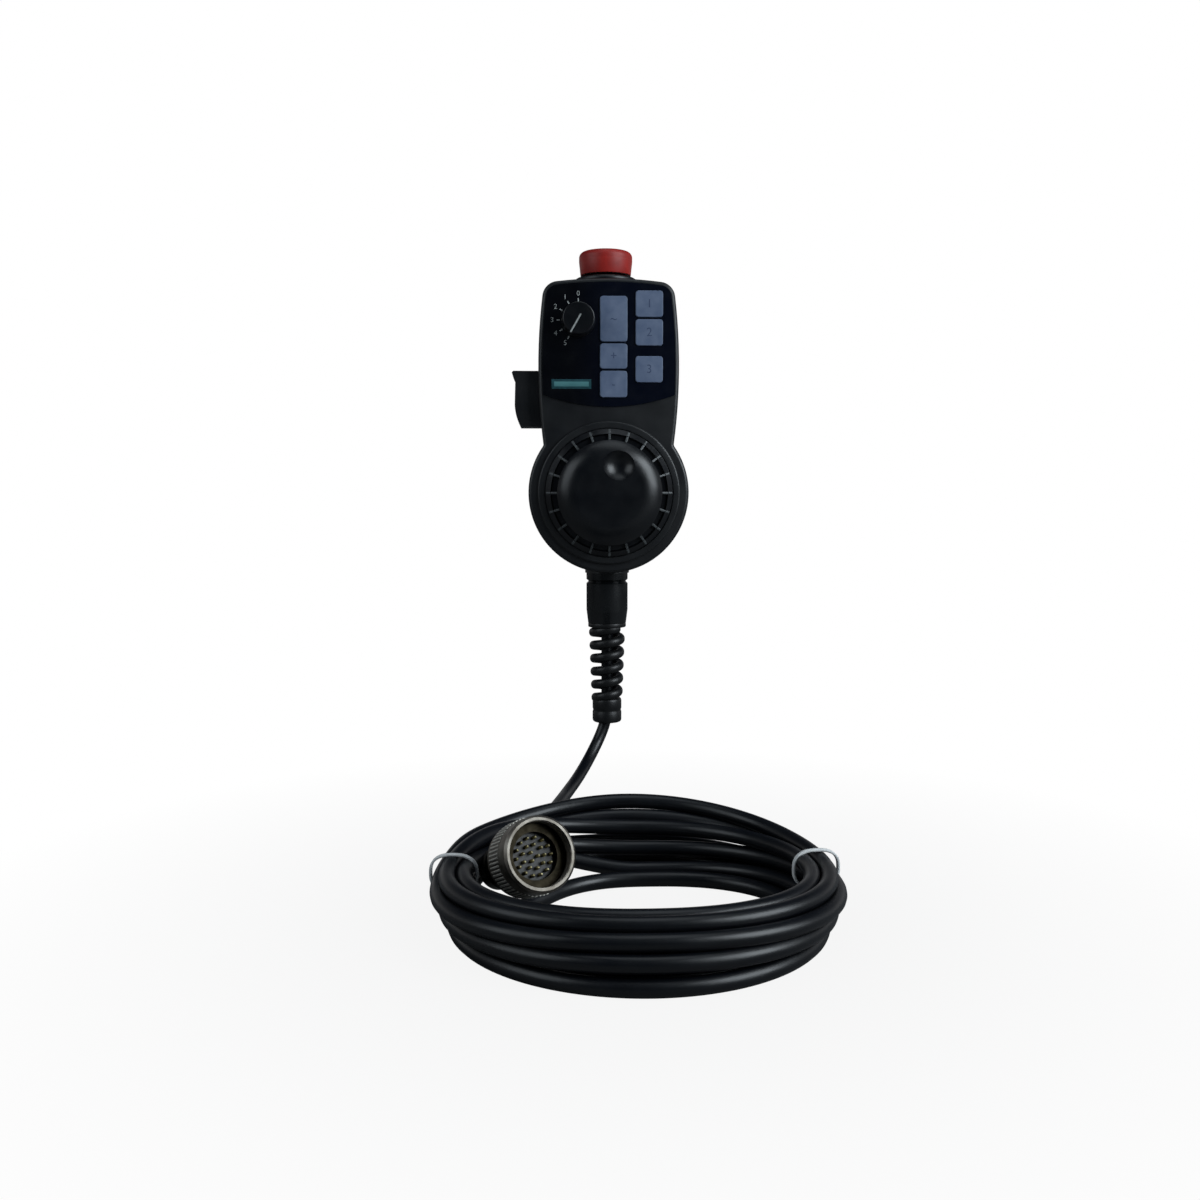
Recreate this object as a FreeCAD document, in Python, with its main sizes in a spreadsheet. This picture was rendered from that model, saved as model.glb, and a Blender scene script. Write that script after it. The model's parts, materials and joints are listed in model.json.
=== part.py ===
"""Handheld control unit: a machine hand pendant with a handwheel, keys, a selector and an emergency stop.

Millimetres. The origin is on the flat back, at the middle of the housing's height. +X is to the right of a
person who faces the unit, +Z is up, and the face looks along -Y. A "depth" is measured forward from the back,
so a piece at depth 44 is at Y = -44.
"""
import FreeCAD, Part
import math
import os

import Sketcher

UP = FreeCAD.Vector(0, 0, 1)
FORWARD = FreeCAD.Vector(0, -1, 0)
LEFTWARD = FreeCAD.Vector(-1, 0, 0)

# Driving dimensions
SIZES = {
    # Housing outline, seen from the front
    "side_half_width": 41.35,
    "side_z": 33.0,
    "side_radius": 340.0,
    "top_z": 84.8,
    "top_radius": 250.0,
    "corner_radius": 9.5,
    "drum_z": -39.8,
    "drum_radius": 47.5,
    "waist_radius": 3.0,
    # Housing depths and walls
    "housing_depth": 44.0,
    "cover_depth": 7.0,
    "wall": 2.6,
    "front_wall": 2.5,
    "rim_radius": 2.2,
    "back_radius": 2.5,
    # Clearances: a push fit, a turning fit and a gap between moving pieces
    "snug": 0.05,
    "running": 0.04,
    "gap": 0.35,
    # Rear cover
    "seal_inset": 0.7,
    "seal_width": 1.1,
    "seal_thickness": 0.8,
    "magnet_radius": 10.0,
    "magnet_thickness": 5.0,
    "magnet_upper_z": 56.0,
    "magnet_lower_z": -48.0,
    "screw_radius": 1.5,
    "screw_length": 18.0,
    "screw_head_radius": 2.9,
    "screw_head_height": 2.2,
    "boss_radius": 3.6,
    "boss_length": 20.0,
    "upper_screw_x": 33.3,
    "upper_screw_z": 70.0,
    "middle_screw_x": 35.6,
    "middle_screw_z": 44.0,
    "lower_screw_x": 32.0,
    "lower_screw_z": -67.0,
    # Face panel
    "panel_thickness": 0.8,
    "panel_inset": 2.4,
    "panel_low_z": 10.6,
    "panel_low_radius": 112.0,
    # Keys
    "key_width": 16.0,
    "key_corner": 1.8,
    "key_proud": 0.9,
    "key_travel": 0.6,
    "key_gap": 0.2,
    "key_edge": 0.45,
    "key_flange": 1.4,
    "key_flange_thickness": 1.0,
    "key_column_one_x": 2.6,
    "key_column_two_x": 23.4,
    "rapid_key_z": 61.1,
    "rapid_key_height": 26.2,
    "plus_key_z": 39.7,
    "plus_key_height": 14.6,
    "minus_key_z": 23.6,
    "minus_key_height": 15.4,
    "key_one_z": 69.8,
    "key_two_z": 53.4,
    "key_three_z": 32.2,
    "function_key_height": 15.2,
    # Key board behind the keys
    "keypad_board_gap": 3.9,
    "board_thickness": 1.6,
    "keypad_left_x": -7.5,
    "keypad_right_x": 32.4,
    "keypad_low_z": 10.0,
    "keypad_high_z": 79.0,
    "dome_radius": 3.2,
    "post_radius": 2.4,
    "small_screw_radius": 1.0,
    "small_screw_head_radius": 2.0,
    "small_screw_head_height": 1.3,
    "small_screw_length": 4.4,
    # Selector
    "selector_x": -18.0,
    "selector_z": 60.3,
    "selector_shaft_radius": 3.0,
    "selector_bush_radius": 4.5,
    "selector_bush_proud": 3.0,
    "selector_body_width": 14.0,
    "selector_body_depth": 10.0,
    "selector_nut_radius": 6.5,
    "selector_nut_height": 1.8,
    "knob_radius": 9.9,
    "knob_height": 10.5,
    "knob_taper": 0.7,
    # Emergency stop
    "estop_x": -0.9,
    "estop_set_back": 23.0,
    "estop_seat_z": 85.2,
    "estop_seat_radius": 13.0,
    "estop_collar_radius": 12.2,
    "estop_collar_height": 3.0,
    "estop_travel": 4.0,
    "estop_neck_radius": 8.0,
    "estop_stem_radius": 5.0,
    "estop_head_radius": 15.9,
    "estop_head_foot_radius": 14.9,
    "estop_head_height": 10.9,
    "estop_head_round": 3.5,
    "estop_nut_radius": 11.5,
    "estop_nut_height": 4.0,
    "estop_block_width": 20.0,
    "estop_block_height": 18.0,
    # Handwheel
    "wheel_disc_radius": 30.6,
    "wheel_flat_radius": 19.0,
    "wheel_front_rise": 16.0,
    "wheel_shoulder_drop": 5.5,
    "wheel_skirt_radius": 37.5,
    "wheel_skirt_rise": 5.4,
    "wheel_rim_rise": 2.4,
    "wheel_back_gap": 0.6,
    "wheel_wall": 4.4,
    "wheel_groove_radius": 33.6,
    "wheel_groove_drop": 1.8,
    "wheel_rib_count": 20,
    "wheel_rib_width": 1.3,
    "wheel_rib_rise": 1.1,
    "dimple_radius": 11.5,
    "dimple_depth": 4.6,
    "dimple_offset": 17.2,
    "dimple_turn": 17.6,
    "hub_radius": 8.0,
    "wheel_shaft_radius": 4.0,
    "bearing_radius": 9.0,
    "bearing_flange_radius": 11.0,
    "bezel_radius": 42.0,
    "bezel_height": 2.2,
    "bezel_gap": 0.6,
    # Encoder
    "encoder_radius": 15.0,
    "encoder_length": 17.0,
    "encoder_flange_radius": 24.0,
    "encoder_flange_thickness": 3.0,
    "encoder_screw_offset": 19.5,
    "encoder_boss_length": 4.5,
    # Enabling lever
    "lever_x": -57.0,
    "lever_low_z": -0.7,
    "lever_high_z": 32.0,
    "lever_back_room": 7.5,
    "lever_front_room": 6.0,
    "lever_pin_x": -35.6,
    "lever_pin_z": 3.6,
    "lever_pin_radius": 1.5,
    "lever_inner_x": -33.4,
    "lever_lip": 2.0,
    "lever_heel": 5.0,
    "lever_slot_gap": 1.9,
    "ear_thickness": 2.4,
    "plunger_z": 24.0,
    "plunger_radius": 2.2,
    "plunger_length": 9.0,
    "plunger_proud": 4.4,
    "enable_switch_width": 13.0,
    "enable_switch_height": 14.0,
    "enable_switch_length": 11.0,
    # Main circuit board
    "board_left_x": -20.0,
    "board_right_x": 32.0,
    "board_low_z": 9.0,
    "board_high_z": 36.0,
    "board_standoff": 3.0,
    "board_post_inset": 3.6,
    # Gland and bend protector
    "gland_depth": 22.0,
    "gland_seat_z": -88.2,
    "gland_seat_radius": 13.4,
    "gland_radius": 12.6,
    "gland_foot_radius": 11.6,
    "gland_low_z": -118.8,
    "gland_neck_radius": 8.0,
    "gland_neck_length": 10.0,
    "gland_nut_radius": 11.0,
    "gland_nut_height": 4.0,
    "gland_seal_length": 8.0,
    "spiral_radius": 11.2,
    "spiral_end_radius": 9.6,
    "spiral_thickness": 3.6,
    "spiral_strand": 5.6,
    "spiral_pitch": 8.1,
    "spiral_low_z": -165.5,
    "boot_radius": 8.9,
    "boot_low_z": -180.5,
    # Cable
    "cable_radius": 3.5,
    "cable_entry_z": -82.0,
    "coil_y": -274.0,
    "coil_z": -198.4,
    "coil_radius": 70.0,
    "coil_half_width": 14.0,
    "coil_half_height": 15.8,
    "tie_radius": 74.6,
    "tie_half_width": 9.2,
    "tie_thickness": 0.9,
    "tie_width": 3.6,
    # Connector, along its own axis from the mouth of the nut
    "connector_x": -39.6,
    "connector_y": -287.6,
    "connector_z": -182.0,
    "connector_turn": 25.7,
    "connector_rise": 23.0,
    "nut_radius": 15.5,
    "nut_length": 20.0,
    "nut_mouth_radius": 13.5,
    "nut_mouth_depth": 6.0,
    "nut_thread_length": 5.6,
    "nut_relief": 0.45,
    "nut_back_wall": 3.0,
    "shell_radius": 11.0,
    "shell_length": 34.0,
    "insert_radius": 9.6,
    "insert_recess": 3.0,
    "insert_length": 16.0,
    # Rings of contacts: how many, and each ring's share of the insert's radius
    "outer_contact_count": 14,
    "outer_ring_share": 0.8,
    "middle_contact_count": 9,
    "middle_ring_share": 0.5,
    "inner_contact_count": 3,
    "inner_ring_share": 0.2,
    "pin_radius": 0.75,
    "pin_length": 2.6,
    "clamp_radius": 9.0,
    "clamp_length": 19.0,
    "clamp_foot_radius": 6.4,
    "coil_clearance": 1.2,
}

doc = FreeCAD.newDocument("handheld_control_unit")
sheet = doc.addObject("Spreadsheet::Sheet", "Sizes")
for row, (alias, number) in enumerate(SIZES.items(), start=1):
    sheet.set("A%d" % row, alias)
    sheet.set("B%d" % row, str(number))
    sheet.setAlias("B%d" % row, alias)
doc.recompute()


# Sizes that carry their own formula


class Size:
    """A length with both its number and the sheet formula that gives it."""

    def __init__(self, number, formula):
        self.number = float(number)
        self.formula = formula

    def __add__(self, other):
        other = as_size(other)
        return Size(self.number + other.number, "(%s + %s)" % (self.formula, other.formula))

    def __sub__(self, other):
        other = as_size(other)
        return Size(self.number - other.number, "(%s - %s)" % (self.formula, other.formula))

    def __mul__(self, other):
        other = as_size(other)
        return Size(self.number * other.number, "(%s * %s)" % (self.formula, other.formula))

    def __truediv__(self, other):
        other = as_size(other)
        return Size(self.number / other.number, "(%s / %s)" % (self.formula, other.formula))

    def __neg__(self):
        return Size(-self.number, "(0 - %s)" % self.formula)


class Sheet:
    """Gives each alias of the sheet as a Size."""

    def __getattr__(self, alias):
        return Size(SIZES[alias], "Sizes." + alias)


def as_size(value):
    if isinstance(value, Size):
        return value
    return Size(value, "(%r)" % float(value))


def root(value):
    return Size(math.sqrt(value.number), "sqrt(%s)" % value.formula)


def bind(thing, name, value):
    thing.setExpression(name, as_size(value).formula)


s = Sheet()

# Sketches, features and places


def new_body(label):
    body = doc.addObject("PartDesign::Body", label)
    body.Label = label
    return body


def sketch_on(body, role, offset=0):
    """An empty sketch parallel to one of the body's own planes, moved along its normal."""
    sketch = body.newObject("Sketcher::SketchObject", body.Name + "_sketch")
    support = next(item for item in body.Origin.OriginFeatures if item.Role == role)
    sketch.AttachmentSupport = [(support, "")]
    sketch.MapMode = "FlatFace"
    bind(sketch, "AttachmentOffset.Base.z", offset)
    return sketch


def front_sketch(body, depth):
    """A sketch parallel to the face: its own axes are X and Z, and its normal points forward."""
    return sketch_on(body, "XZ_Plane", depth)


def fix_point(sketch, item, position, across, up):
    """Ties one point of a sketch to the sheet, by its distances from the sketch's origin."""
    for kind, value in (("DistanceX", as_size(across)), ("DistanceY", as_size(up))):
        index = sketch.addConstraint(Sketcher.Constraint(kind, -1, 1, item, position, value.number))
        bind(sketch, "Constraints[%d]" % index, value)


def fix_radius(sketch, item, radius):
    radius = as_size(radius)
    index = sketch.addConstraint(Sketcher.Constraint("Radius", item, radius.number))
    bind(sketch, "Constraints[%d]" % index, radius)


def arc_about(centre, radius, start, end):
    """A counter-clockwise arc about a centre, between the directions of two points."""
    first = math.atan2(start[1] - centre[1], start[0] - centre[0])
    last = math.atan2(end[1] - centre[1], end[0] - centre[0])
    if last <= first:
        last += 2 * math.pi
    circle = Part.Circle(FreeCAD.Vector(centre[0], centre[1], 0), UP, radius)
    return Part.ArcOfCircle(circle, first, last)


def arc_centre(start, end, radius, left):
    """The centre of the smaller arc of a radius from start to end, to the left or right of the way."""
    across = end[0] - start[0]
    up = end[1] - start[1]
    chord = math.hypot(across, up)
    rise = math.sqrt(radius ** 2 - chord ** 2 / 4) / chord
    side = 1 if left else -1
    return (start[0] + across / 2 - side * up * rise, start[1] + up / 2 + side * across * rise)


def draw(sketch, corners):
    """A closed outline through corners (across, up), each reached by a straight line, or by an arc where it
    is (across, up, radius): a positive radius turns left on the way, and a negative one turns right."""
    spots = [(as_size(corner[0]), as_size(corner[1])) for corner in corners]
    ends = []
    for index, corner in enumerate(corners):
        start = [value.number for value in spots[index - 1]]
        end = [value.number for value in spots[index]]
        if len(corner) == 2:
            line = Part.LineSegment(FreeCAD.Vector(*start, 0), FreeCAD.Vector(*end, 0))
            ends.append((sketch.addGeometry(line, False), 1, 2))
            continue
        radius = as_size(corner[2])
        left = radius.number > 0
        centre = arc_centre(start, end, abs(radius.number), left)
        if left:
            item = sketch.addGeometry(arc_about(centre, radius.number, start, end), False)
            ends.append((item, 1, 2))
        else:
            item = sketch.addGeometry(arc_about(centre, -radius.number, end, start), False)
            ends.append((item, 2, 1))
    for index, (item, first, last) in enumerate(ends):
        before, unused, before_last = ends[index - 1]
        sketch.addConstraint(Sketcher.Constraint("Coincident", before, before_last, item, first))
        fix_point(sketch, item, last, *spots[index])
        if len(corners[index]) == 3:
            radius = as_size(corners[index][2])
            fix_radius(sketch, item, radius if radius.number > 0 else -radius)


def draw_circle(sketch, across, up, radius):
    middle = FreeCAD.Vector(as_size(across).number, as_size(up).number, 0)
    item = sketch.addGeometry(Part.Circle(middle, UP, as_size(radius).number), False)
    fix_point(sketch, item, 3, across, up)
    fix_radius(sketch, item, radius)


def draw_box(sketch, left, right, low, high):
    draw(sketch, [(left, low), (right, low), (right, high), (left, high)])


def draw_round_box(sketch, middle_x, middle_z, width, height, corner):
    left = middle_x - width / 2
    right = middle_x + width / 2
    low = middle_z - height / 2
    high = middle_z + height / 2
    draw(sketch, [
        (left + corner, low, corner), (right - corner, low),
        (right, low + corner, corner), (right, high - corner),
        (right - corner, high, corner), (left + corner, high),
        (left, high - corner, corner), (left, low + corner),
    ])


def add_feature(body, kind, sketch, length):
    feature = body.newObject("PartDesign::" + kind, body.Name + "_" + kind.lower())
    feature.Profile = sketch
    bind(feature, "Length", length)
    return feature


def pad(body, sketch, length):
    """Adds material from the sketch along its normal."""
    return add_feature(body, "Pad", sketch, length)


def pocket(body, sketch, length):
    """Takes material away from the sketch against its normal, and makes sure that it met some."""
    doc.recompute()
    before = body.Shape.Volume
    feature = add_feature(body, "Pocket", sketch, length)
    doc.recompute()
    if body.Shape.Volume >= before:
        raise RuntimeError("the pocket on %s cut nothing" % body.Label)
    return feature


def revolve(body, sketch):
    feature = body.newObject("PartDesign::Revolution", body.Name + "_revolution")
    feature.Profile = sketch
    feature.ReferenceAxis = (sketch, ["V_Axis"])
    feature.Angle = 360.0
    return feature


def round_edges(body, chosen, radius):
    """Rounds the edges of the body's last feature that a test picks."""
    doc.recompute()
    base = body.Tip
    names = ["Edge%d" % number for number, edge in enumerate(base.Shape.Edges, start=1) if chosen(edge)]
    feature = body.newObject("PartDesign::Fillet", body.Name + "_fillet")
    feature.Base = (base, names)
    bind(feature, "Radius", radius)
    return feature


def place(thing, x, y, z, towards=UP):
    """Moves a piece to a point and turns its own Z axis towards a direction."""
    spot = FreeCAD.Vector(as_size(x).number, as_size(y).number, as_size(z).number)
    thing.Placement = FreeCAD.Placement(spot, FreeCAD.Rotation(UP, towards))
    bind(thing, "Placement.Base.x", x)
    bind(thing, "Placement.Base.y", y)
    bind(thing, "Placement.Base.z", z)
    return thing


def turned(label, profile, x, y, z, towards=UP):
    """A piece turned about its own Z axis from a profile of (radius, height) corners, put in its place."""
    body = new_body(label)
    sketch = sketch_on(body, "XZ_Plane")
    draw(sketch, profile)
    revolve(body, sketch)
    return place(body, x, y, z, towards)


def cylinder(label, radius, length, x, y, z, towards=UP):
    piece = doc.addObject("Part::Cylinder", label)
    piece.Label = label
    bind(piece, "Radius", radius)
    bind(piece, "Height", length)
    return place(piece, x, y, z, towards)


def cut(label, base, tool):
    piece = doc.addObject("Part::Cut", label)
    piece.Label = label
    piece.Base = base
    piece.Tool = tool
    return piece


def group(label, pieces):
    """Separate solids that share one node."""
    whole = doc.addObject("Part::Compound", label)
    whole.Label = label
    whole.Links = pieces
    return whole


def flat_at(axis, level):
    """A test for edges that lie in the plane where one coordinate has a given value."""
    def chosen(edge):
        box = edge.BoundBox
        low, high = {"y": (box.YMin, box.YMax), "z": (box.ZMin, box.ZMax)}[axis]
        return abs(low - level.number) < 0.01 and abs(high - level.number) < 0.01
    return chosen


# Housing outline


def meeting(centre_one, reach_one, centre_two, reach_two):
    """The right-hand point at two given distances from two centres."""
    across = centre_two[0] - centre_one[0]
    up = centre_two[1] - centre_one[1]
    apart = math.hypot(across, up)
    along = (apart ** 2 + reach_one ** 2 - reach_two ** 2) / (2 * apart)
    aside = math.sqrt(reach_one ** 2 - along ** 2)
    middle = (centre_one[0] + across * along / apart, centre_one[1] + up * along / apart)
    lean = aside / apart
    pair = [(middle[0] + side * up * lean, middle[1] - side * across * lean) for side in (1, -1)]
    return max(pair)


def towards(centre, target, reach):
    """The point at a distance from a centre, in the direction of a target."""
    across = target[0] - centre[0]
    up = target[1] - centre[1]
    apart = math.hypot(across, up)
    return (centre[0] + across * reach / apart, centre[1] + up * reach / apart)


def draw_outline(sketch, inset=0):
    """The unit's outline, moved inwards by an inset: bowed sides, an arched top and a round lower half,
    joined by tangent corner arcs and by a hollow waist arc on each side."""
    inset = as_size(inset)
    side_x = s.side_half_width - s.side_radius
    top_z = s.top_z - s.top_radius
    side_spot = (side_x.number, s.side_z.number)
    top_spot = (0.0, top_z.number)
    drum_spot = (0.0, s.drum_z.number)
    corner_spot = meeting(
        side_spot, (s.side_radius - s.corner_radius).number,
        top_spot, (s.top_radius - s.corner_radius).number)
    waist_spot = meeting(
        drum_spot, (s.drum_radius + s.waist_radius).number,
        side_spot, (s.side_radius + s.waist_radius).number)
    side_reach = s.side_radius - inset
    top_reach = s.top_radius - inset
    drum_reach = s.drum_radius - inset
    corner_reach = s.corner_radius - inset
    waist_reach = s.waist_radius + inset
    side_low = towards(side_spot, waist_spot, side_reach.number)
    side_high = towards(side_spot, corner_spot, side_reach.number)
    top_right = towards(top_spot, corner_spot, top_reach.number)
    drum_right = towards(drum_spot, waist_spot, drum_reach.number)

    def mirror(spot):
        return (-spot[0], spot[1])

    # Each arc: its centre, radius, start and end on the way round, and its centre's formula where it has one
    arcs = [
        (side_spot, side_reach, side_low, side_high, (side_x, s.side_z)),
        (corner_spot, corner_reach, side_high, top_right, None),
        (top_spot, top_reach, top_right, mirror(top_right), (0, top_z)),
        (mirror(corner_spot), corner_reach, mirror(top_right), mirror(side_high), None),
        (mirror(side_spot), side_reach, mirror(side_high), mirror(side_low), (-side_x, s.side_z)),
        (mirror(waist_spot), waist_reach, mirror(side_low), mirror(drum_right), None),
        (drum_spot, drum_reach, mirror(drum_right), drum_right, (0, s.drum_z)),
        (waist_spot, waist_reach, drum_right, side_low, None),
    ]
    ends = []
    for centre, reach, start, end, formula in arcs:
        hollow = reach is waist_reach
        if hollow:
            start, end = end, start
        item = sketch.addGeometry(arc_about(centre, reach.number, start, end), False)
        ends.append((item, 2, 1) if hollow else (item, 1, 2))
        fix_radius(sketch, item, reach)
        if formula:
            fix_point(sketch, item, 3, *formula)
    for index, (item, first, last) in enumerate(ends):
        before, unused, before_last = ends[index - 1]
        sketch.addConstraint(Sketcher.Constraint("Tangent", before, before_last, item, first))


# Depths and places that several pieces share

wall_back = s.housing_depth - s.front_wall
stop_depth = s.housing_depth - s.estop_set_back
panel_front = s.housing_depth + s.panel_thickness
key_back = wall_back - s.snug - s.key_flange_thickness
keypad_front = wall_back - s.keypad_board_gap
keypad_back = keypad_front - s.board_thickness
board_back = s.cover_depth + s.board_standoff
board_front = board_back + s.board_thickness

KEYS = {
    "key_rapid": (s.key_column_one_x, s.rapid_key_z, s.rapid_key_height),
    "key_plus": (s.key_column_one_x, s.plus_key_z, s.plus_key_height),
    "key_minus": (s.key_column_one_x, s.minus_key_z, s.minus_key_height),
    "key_one": (s.key_column_two_x, s.key_one_z, s.function_key_height),
    "key_two": (s.key_column_two_x, s.key_two_z, s.function_key_height),
    "key_three": (s.key_column_two_x, s.key_three_z, s.function_key_height),
}


def key_low(name):
    x, z, height = KEYS[name]
    return z - height / 2


def key_high(name):
    x, z, height = KEYS[name]
    return z + height / 2


def both_sides(x, z):
    return [(x, z), (-x, z)]


cover_screw_spots = (
    both_sides(s.upper_screw_x, s.upper_screw_z)
    + both_sides(s.middle_screw_x, s.middle_screw_z)
    + both_sides(s.lower_screw_x, s.lower_screw_z))

post_step = s.gap * 2 + s.post_radius
keypad_post_spots = [
    (s.key_column_one_x, key_high("key_rapid") + post_step),
    (s.key_column_one_x, key_low("key_minus") - post_step),
    (s.key_column_two_x, (key_low("key_two") + key_high("key_three")) / 2),
    (s.key_column_two_x, key_low("key_three") - post_step),
]

board_post_spots = [
    (x, z)
    for x in (s.board_left_x + s.board_post_inset, s.board_right_x - s.board_post_inset)
    for z in (s.board_low_z + s.board_post_inset, s.board_high_z - s.board_post_inset)]

ENCODER_SCREW_TURNS = (90, 210, 330)
encoder_screw_spots = [
    (s.encoder_screw_offset * math.cos(math.radians(turn)),
     s.drum_z + s.encoder_screw_offset * math.sin(math.radians(turn)))
    for turn in ENCODER_SCREW_TURNS]

magnet_spots = [(0, s.magnet_upper_z), (0, s.magnet_lower_z)]

enable_switch_left = s.lever_inner_x + s.gap + s.plunger_proud
lever_back = s.cover_depth + s.lever_back_room
lever_front = wall_back - s.lever_front_room
lever_depth = (lever_back + lever_front) / 2
lever_width = lever_front - lever_back


def circles(body, depth, spots, radius):
    """A sketch parallel to the face with one circle at each spot."""
    sketch = front_sketch(body, depth)
    for x, z in spots:
        draw_circle(sketch, x, z, radius)
    return sketch


# Front housing


def front_housing():
    body = new_body("front_housing")
    shell = front_sketch(body, s.cover_depth)
    draw_outline(shell)
    pad(body, shell, s.housing_depth - s.cover_depth)
    round_edges(body, flat_at("y", -s.housing_depth), s.rim_radius)

    # Flat seats for the gland below and the emergency stop above
    gland_seat = sketch_on(body, "XY_Plane", s.gland_seat_z)
    draw_circle(gland_seat, 0, -s.gland_depth, s.gland_seat_radius)
    pad(body, gland_seat, s.drum_z - s.gland_seat_z)
    stop_seat = sketch_on(body, "XY_Plane", s.top_z - s.wall)
    draw_circle(stop_seat, s.estop_x, -stop_depth, s.estop_seat_radius)
    pad(body, stop_seat, s.estop_seat_z - s.top_z + s.wall)

    # The hollow, open to the rear cover
    hollow = front_sketch(body, wall_back)
    draw_outline(hollow, s.wall)
    pocket(body, hollow, wall_back - s.cover_depth)

    # Bosses for the cover's screws, posts for the key board, bosses for the encoder
    pad(body, circles(body, s.cover_depth, cover_screw_spots, s.boss_radius), s.boss_length)
    pad(body, circles(body, keypad_front, keypad_post_spots, s.post_radius), s.keypad_board_gap)
    encoder_seat = wall_back - s.encoder_boss_length
    pad(body, circles(body, encoder_seat, encoder_screw_spots, s.boss_radius), s.encoder_boss_length)

    # Two ears for the lever's pin, on the left wall
    ear_left = -s.side_half_width + s.wall
    ear_right = s.lever_pin_x + s.lever_pin_radius * 2
    for ear_depth in (lever_back - s.gap - s.ear_thickness, lever_front + s.gap):
        ear = front_sketch(body, ear_depth)
        ear_high = s.lever_pin_z + s.lever_pin_radius * 3
        draw_box(ear, ear_left, ear_right, s.lever_low_z - s.lever_slot_gap, ear_high)
        pad(body, ear, s.ear_thickness)

    # The rib that the enabling switch is held against
    rib_depth = lever_depth + s.enable_switch_width / 2
    rib = front_sketch(body, rib_depth)
    rib_x = enable_switch_left + s.enable_switch_length / 2
    draw_box(rib, rib_x - s.ear_thickness, rib_x + s.ear_thickness,
             s.plunger_z - s.enable_switch_height / 2, s.plunger_z + s.enable_switch_height / 2)
    pad(body, rib, wall_back - rib_depth)

    # Screw holes, which run out past the face of their posts by a wall thickness
    screw_hole = s.screw_radius + s.snug
    cover_hole_top = s.cover_depth + s.screw_length
    pocket(body, circles(body, cover_hole_top, cover_screw_spots, screw_hole), s.screw_length + s.wall)
    post_hole_top = keypad_back + s.small_screw_length + s.snug
    post_holes = circles(body, post_hole_top, keypad_post_spots, s.small_screw_radius + s.snug)
    pocket(body, post_holes, post_hole_top - keypad_front + s.wall)
    boss_hole_top = encoder_seat - s.encoder_flange_thickness + s.small_screw_length * 1.5 + s.snug
    boss_holes = circles(body, boss_hole_top, encoder_screw_spots, screw_hole)
    pocket(body, boss_holes, boss_hole_top - encoder_seat + s.wall)

    # Holes for the wheel, the selector and the lever's pin, and the windows for the keys
    pocket(body, circles(body, s.housing_depth, [(0, s.drum_z)], s.bearing_radius + s.snug), s.front_wall)
    bush_clear = s.selector_bush_radius + s.snug
    bush_hole = circles(body, s.housing_depth, [(s.selector_x, s.selector_z)], bush_clear)
    pocket(body, bush_hole, s.front_wall)
    pin_hole = circles(body, lever_front + s.gap + s.ear_thickness, [(s.lever_pin_x, s.lever_pin_z)],
                       s.lever_pin_radius + s.snug)
    pocket(body, pin_hole, lever_width + (s.gap + s.ear_thickness) * 2)
    windows = front_sketch(body, s.housing_depth)
    for low_key, high_key in (("key_minus", "key_rapid"), ("key_two", "key_one"), ("key_three", "key_three")):
        x = KEYS[low_key][0]
        reach = s.key_width / 2 + s.gap
        draw_box(windows, x - reach, x + reach, key_low(low_key) - s.gap, key_high(high_key) + s.gap)
    pocket(body, windows, s.front_wall)
    stop_hole = sketch_on(body, "XY_Plane", s.estop_seat_z)
    draw_circle(stop_hole, s.estop_x, -stop_depth, s.estop_neck_radius + s.snug)
    pocket(body, stop_hole, s.wall * 2)
    gland_hole = sketch_on(body, "XY_Plane", s.gland_seat_z + s.wall * 3)
    draw_circle(gland_hole, 0, -s.gland_depth, s.gland_neck_radius + s.snug)
    pocket(body, gland_hole, s.wall * 3)
    slot = sketch_on(body, "YZ_Plane", ear_left + s.wall * 2)
    draw_box(slot, -lever_front - s.gap, -lever_back + s.gap,
             s.lever_low_z - s.lever_slot_gap, s.lever_high_z + s.lever_slot_gap)
    pocket(body, slot, s.wall * 4)
    return body


def rear_cover():
    body = new_body("rear_cover")
    plate = front_sketch(body, 0)
    draw_outline(plate)
    pad(body, plate, s.cover_depth)
    round_edges(body, flat_at("y", as_size(0)), s.back_radius)
    pad(body, circles(body, s.cover_depth, board_post_spots, s.post_radius), s.board_standoff)
    groove = front_sketch(body, s.cover_depth)
    draw_outline(groove, s.seal_inset)
    draw_outline(groove, s.seal_inset + s.seal_width)
    pocket(body, groove, s.seal_thickness)
    head_room = s.screw_head_height + s.gap
    pocket(body, circles(body, s.cover_depth, cover_screw_spots, s.screw_radius + s.gap), s.cover_depth)
    pocket(body, circles(body, head_room, cover_screw_spots, s.screw_head_radius + s.gap), head_room)
    magnet_seats = circles(body, s.magnet_thickness, magnet_spots, s.magnet_radius + s.snug)
    pocket(body, magnet_seats, s.magnet_thickness)
    hole_low = board_front - s.small_screw_length - s.snug
    screw_hole = s.small_screw_radius + s.snug
    pocket(body, circles(body, board_back, board_post_spots, screw_hole), board_back - hole_low)
    return body


def cover_seal():
    body = new_body("cover_seal")
    loop = front_sketch(body, s.cover_depth - s.seal_thickness)
    draw_outline(loop, s.seal_inset + s.snug)
    draw_outline(loop, s.seal_inset + s.seal_width - s.snug)
    pad(body, loop, s.seal_thickness)
    return body


def screw(label, x, depth, z, radius, length, head_radius, head_height, direction):
    """A cap screw whose head sits at a depth, with its shank along a direction."""
    profile = [
        (0, -head_height), (head_radius, -head_height), (head_radius, 0),
        (radius, 0), (radius, length), (0, length),
    ]
    return turned(label, profile, x, -depth, z, direction)


def cover_screws():
    seat = s.screw_head_height + s.gap
    screws = [
        screw("cover_screw", x, seat, z, s.screw_radius, s.screw_length, s.screw_head_radius,
              s.screw_head_height, FORWARD)
        for x, z in cover_screw_spots]
    return group("cover_screws", screws)


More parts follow.
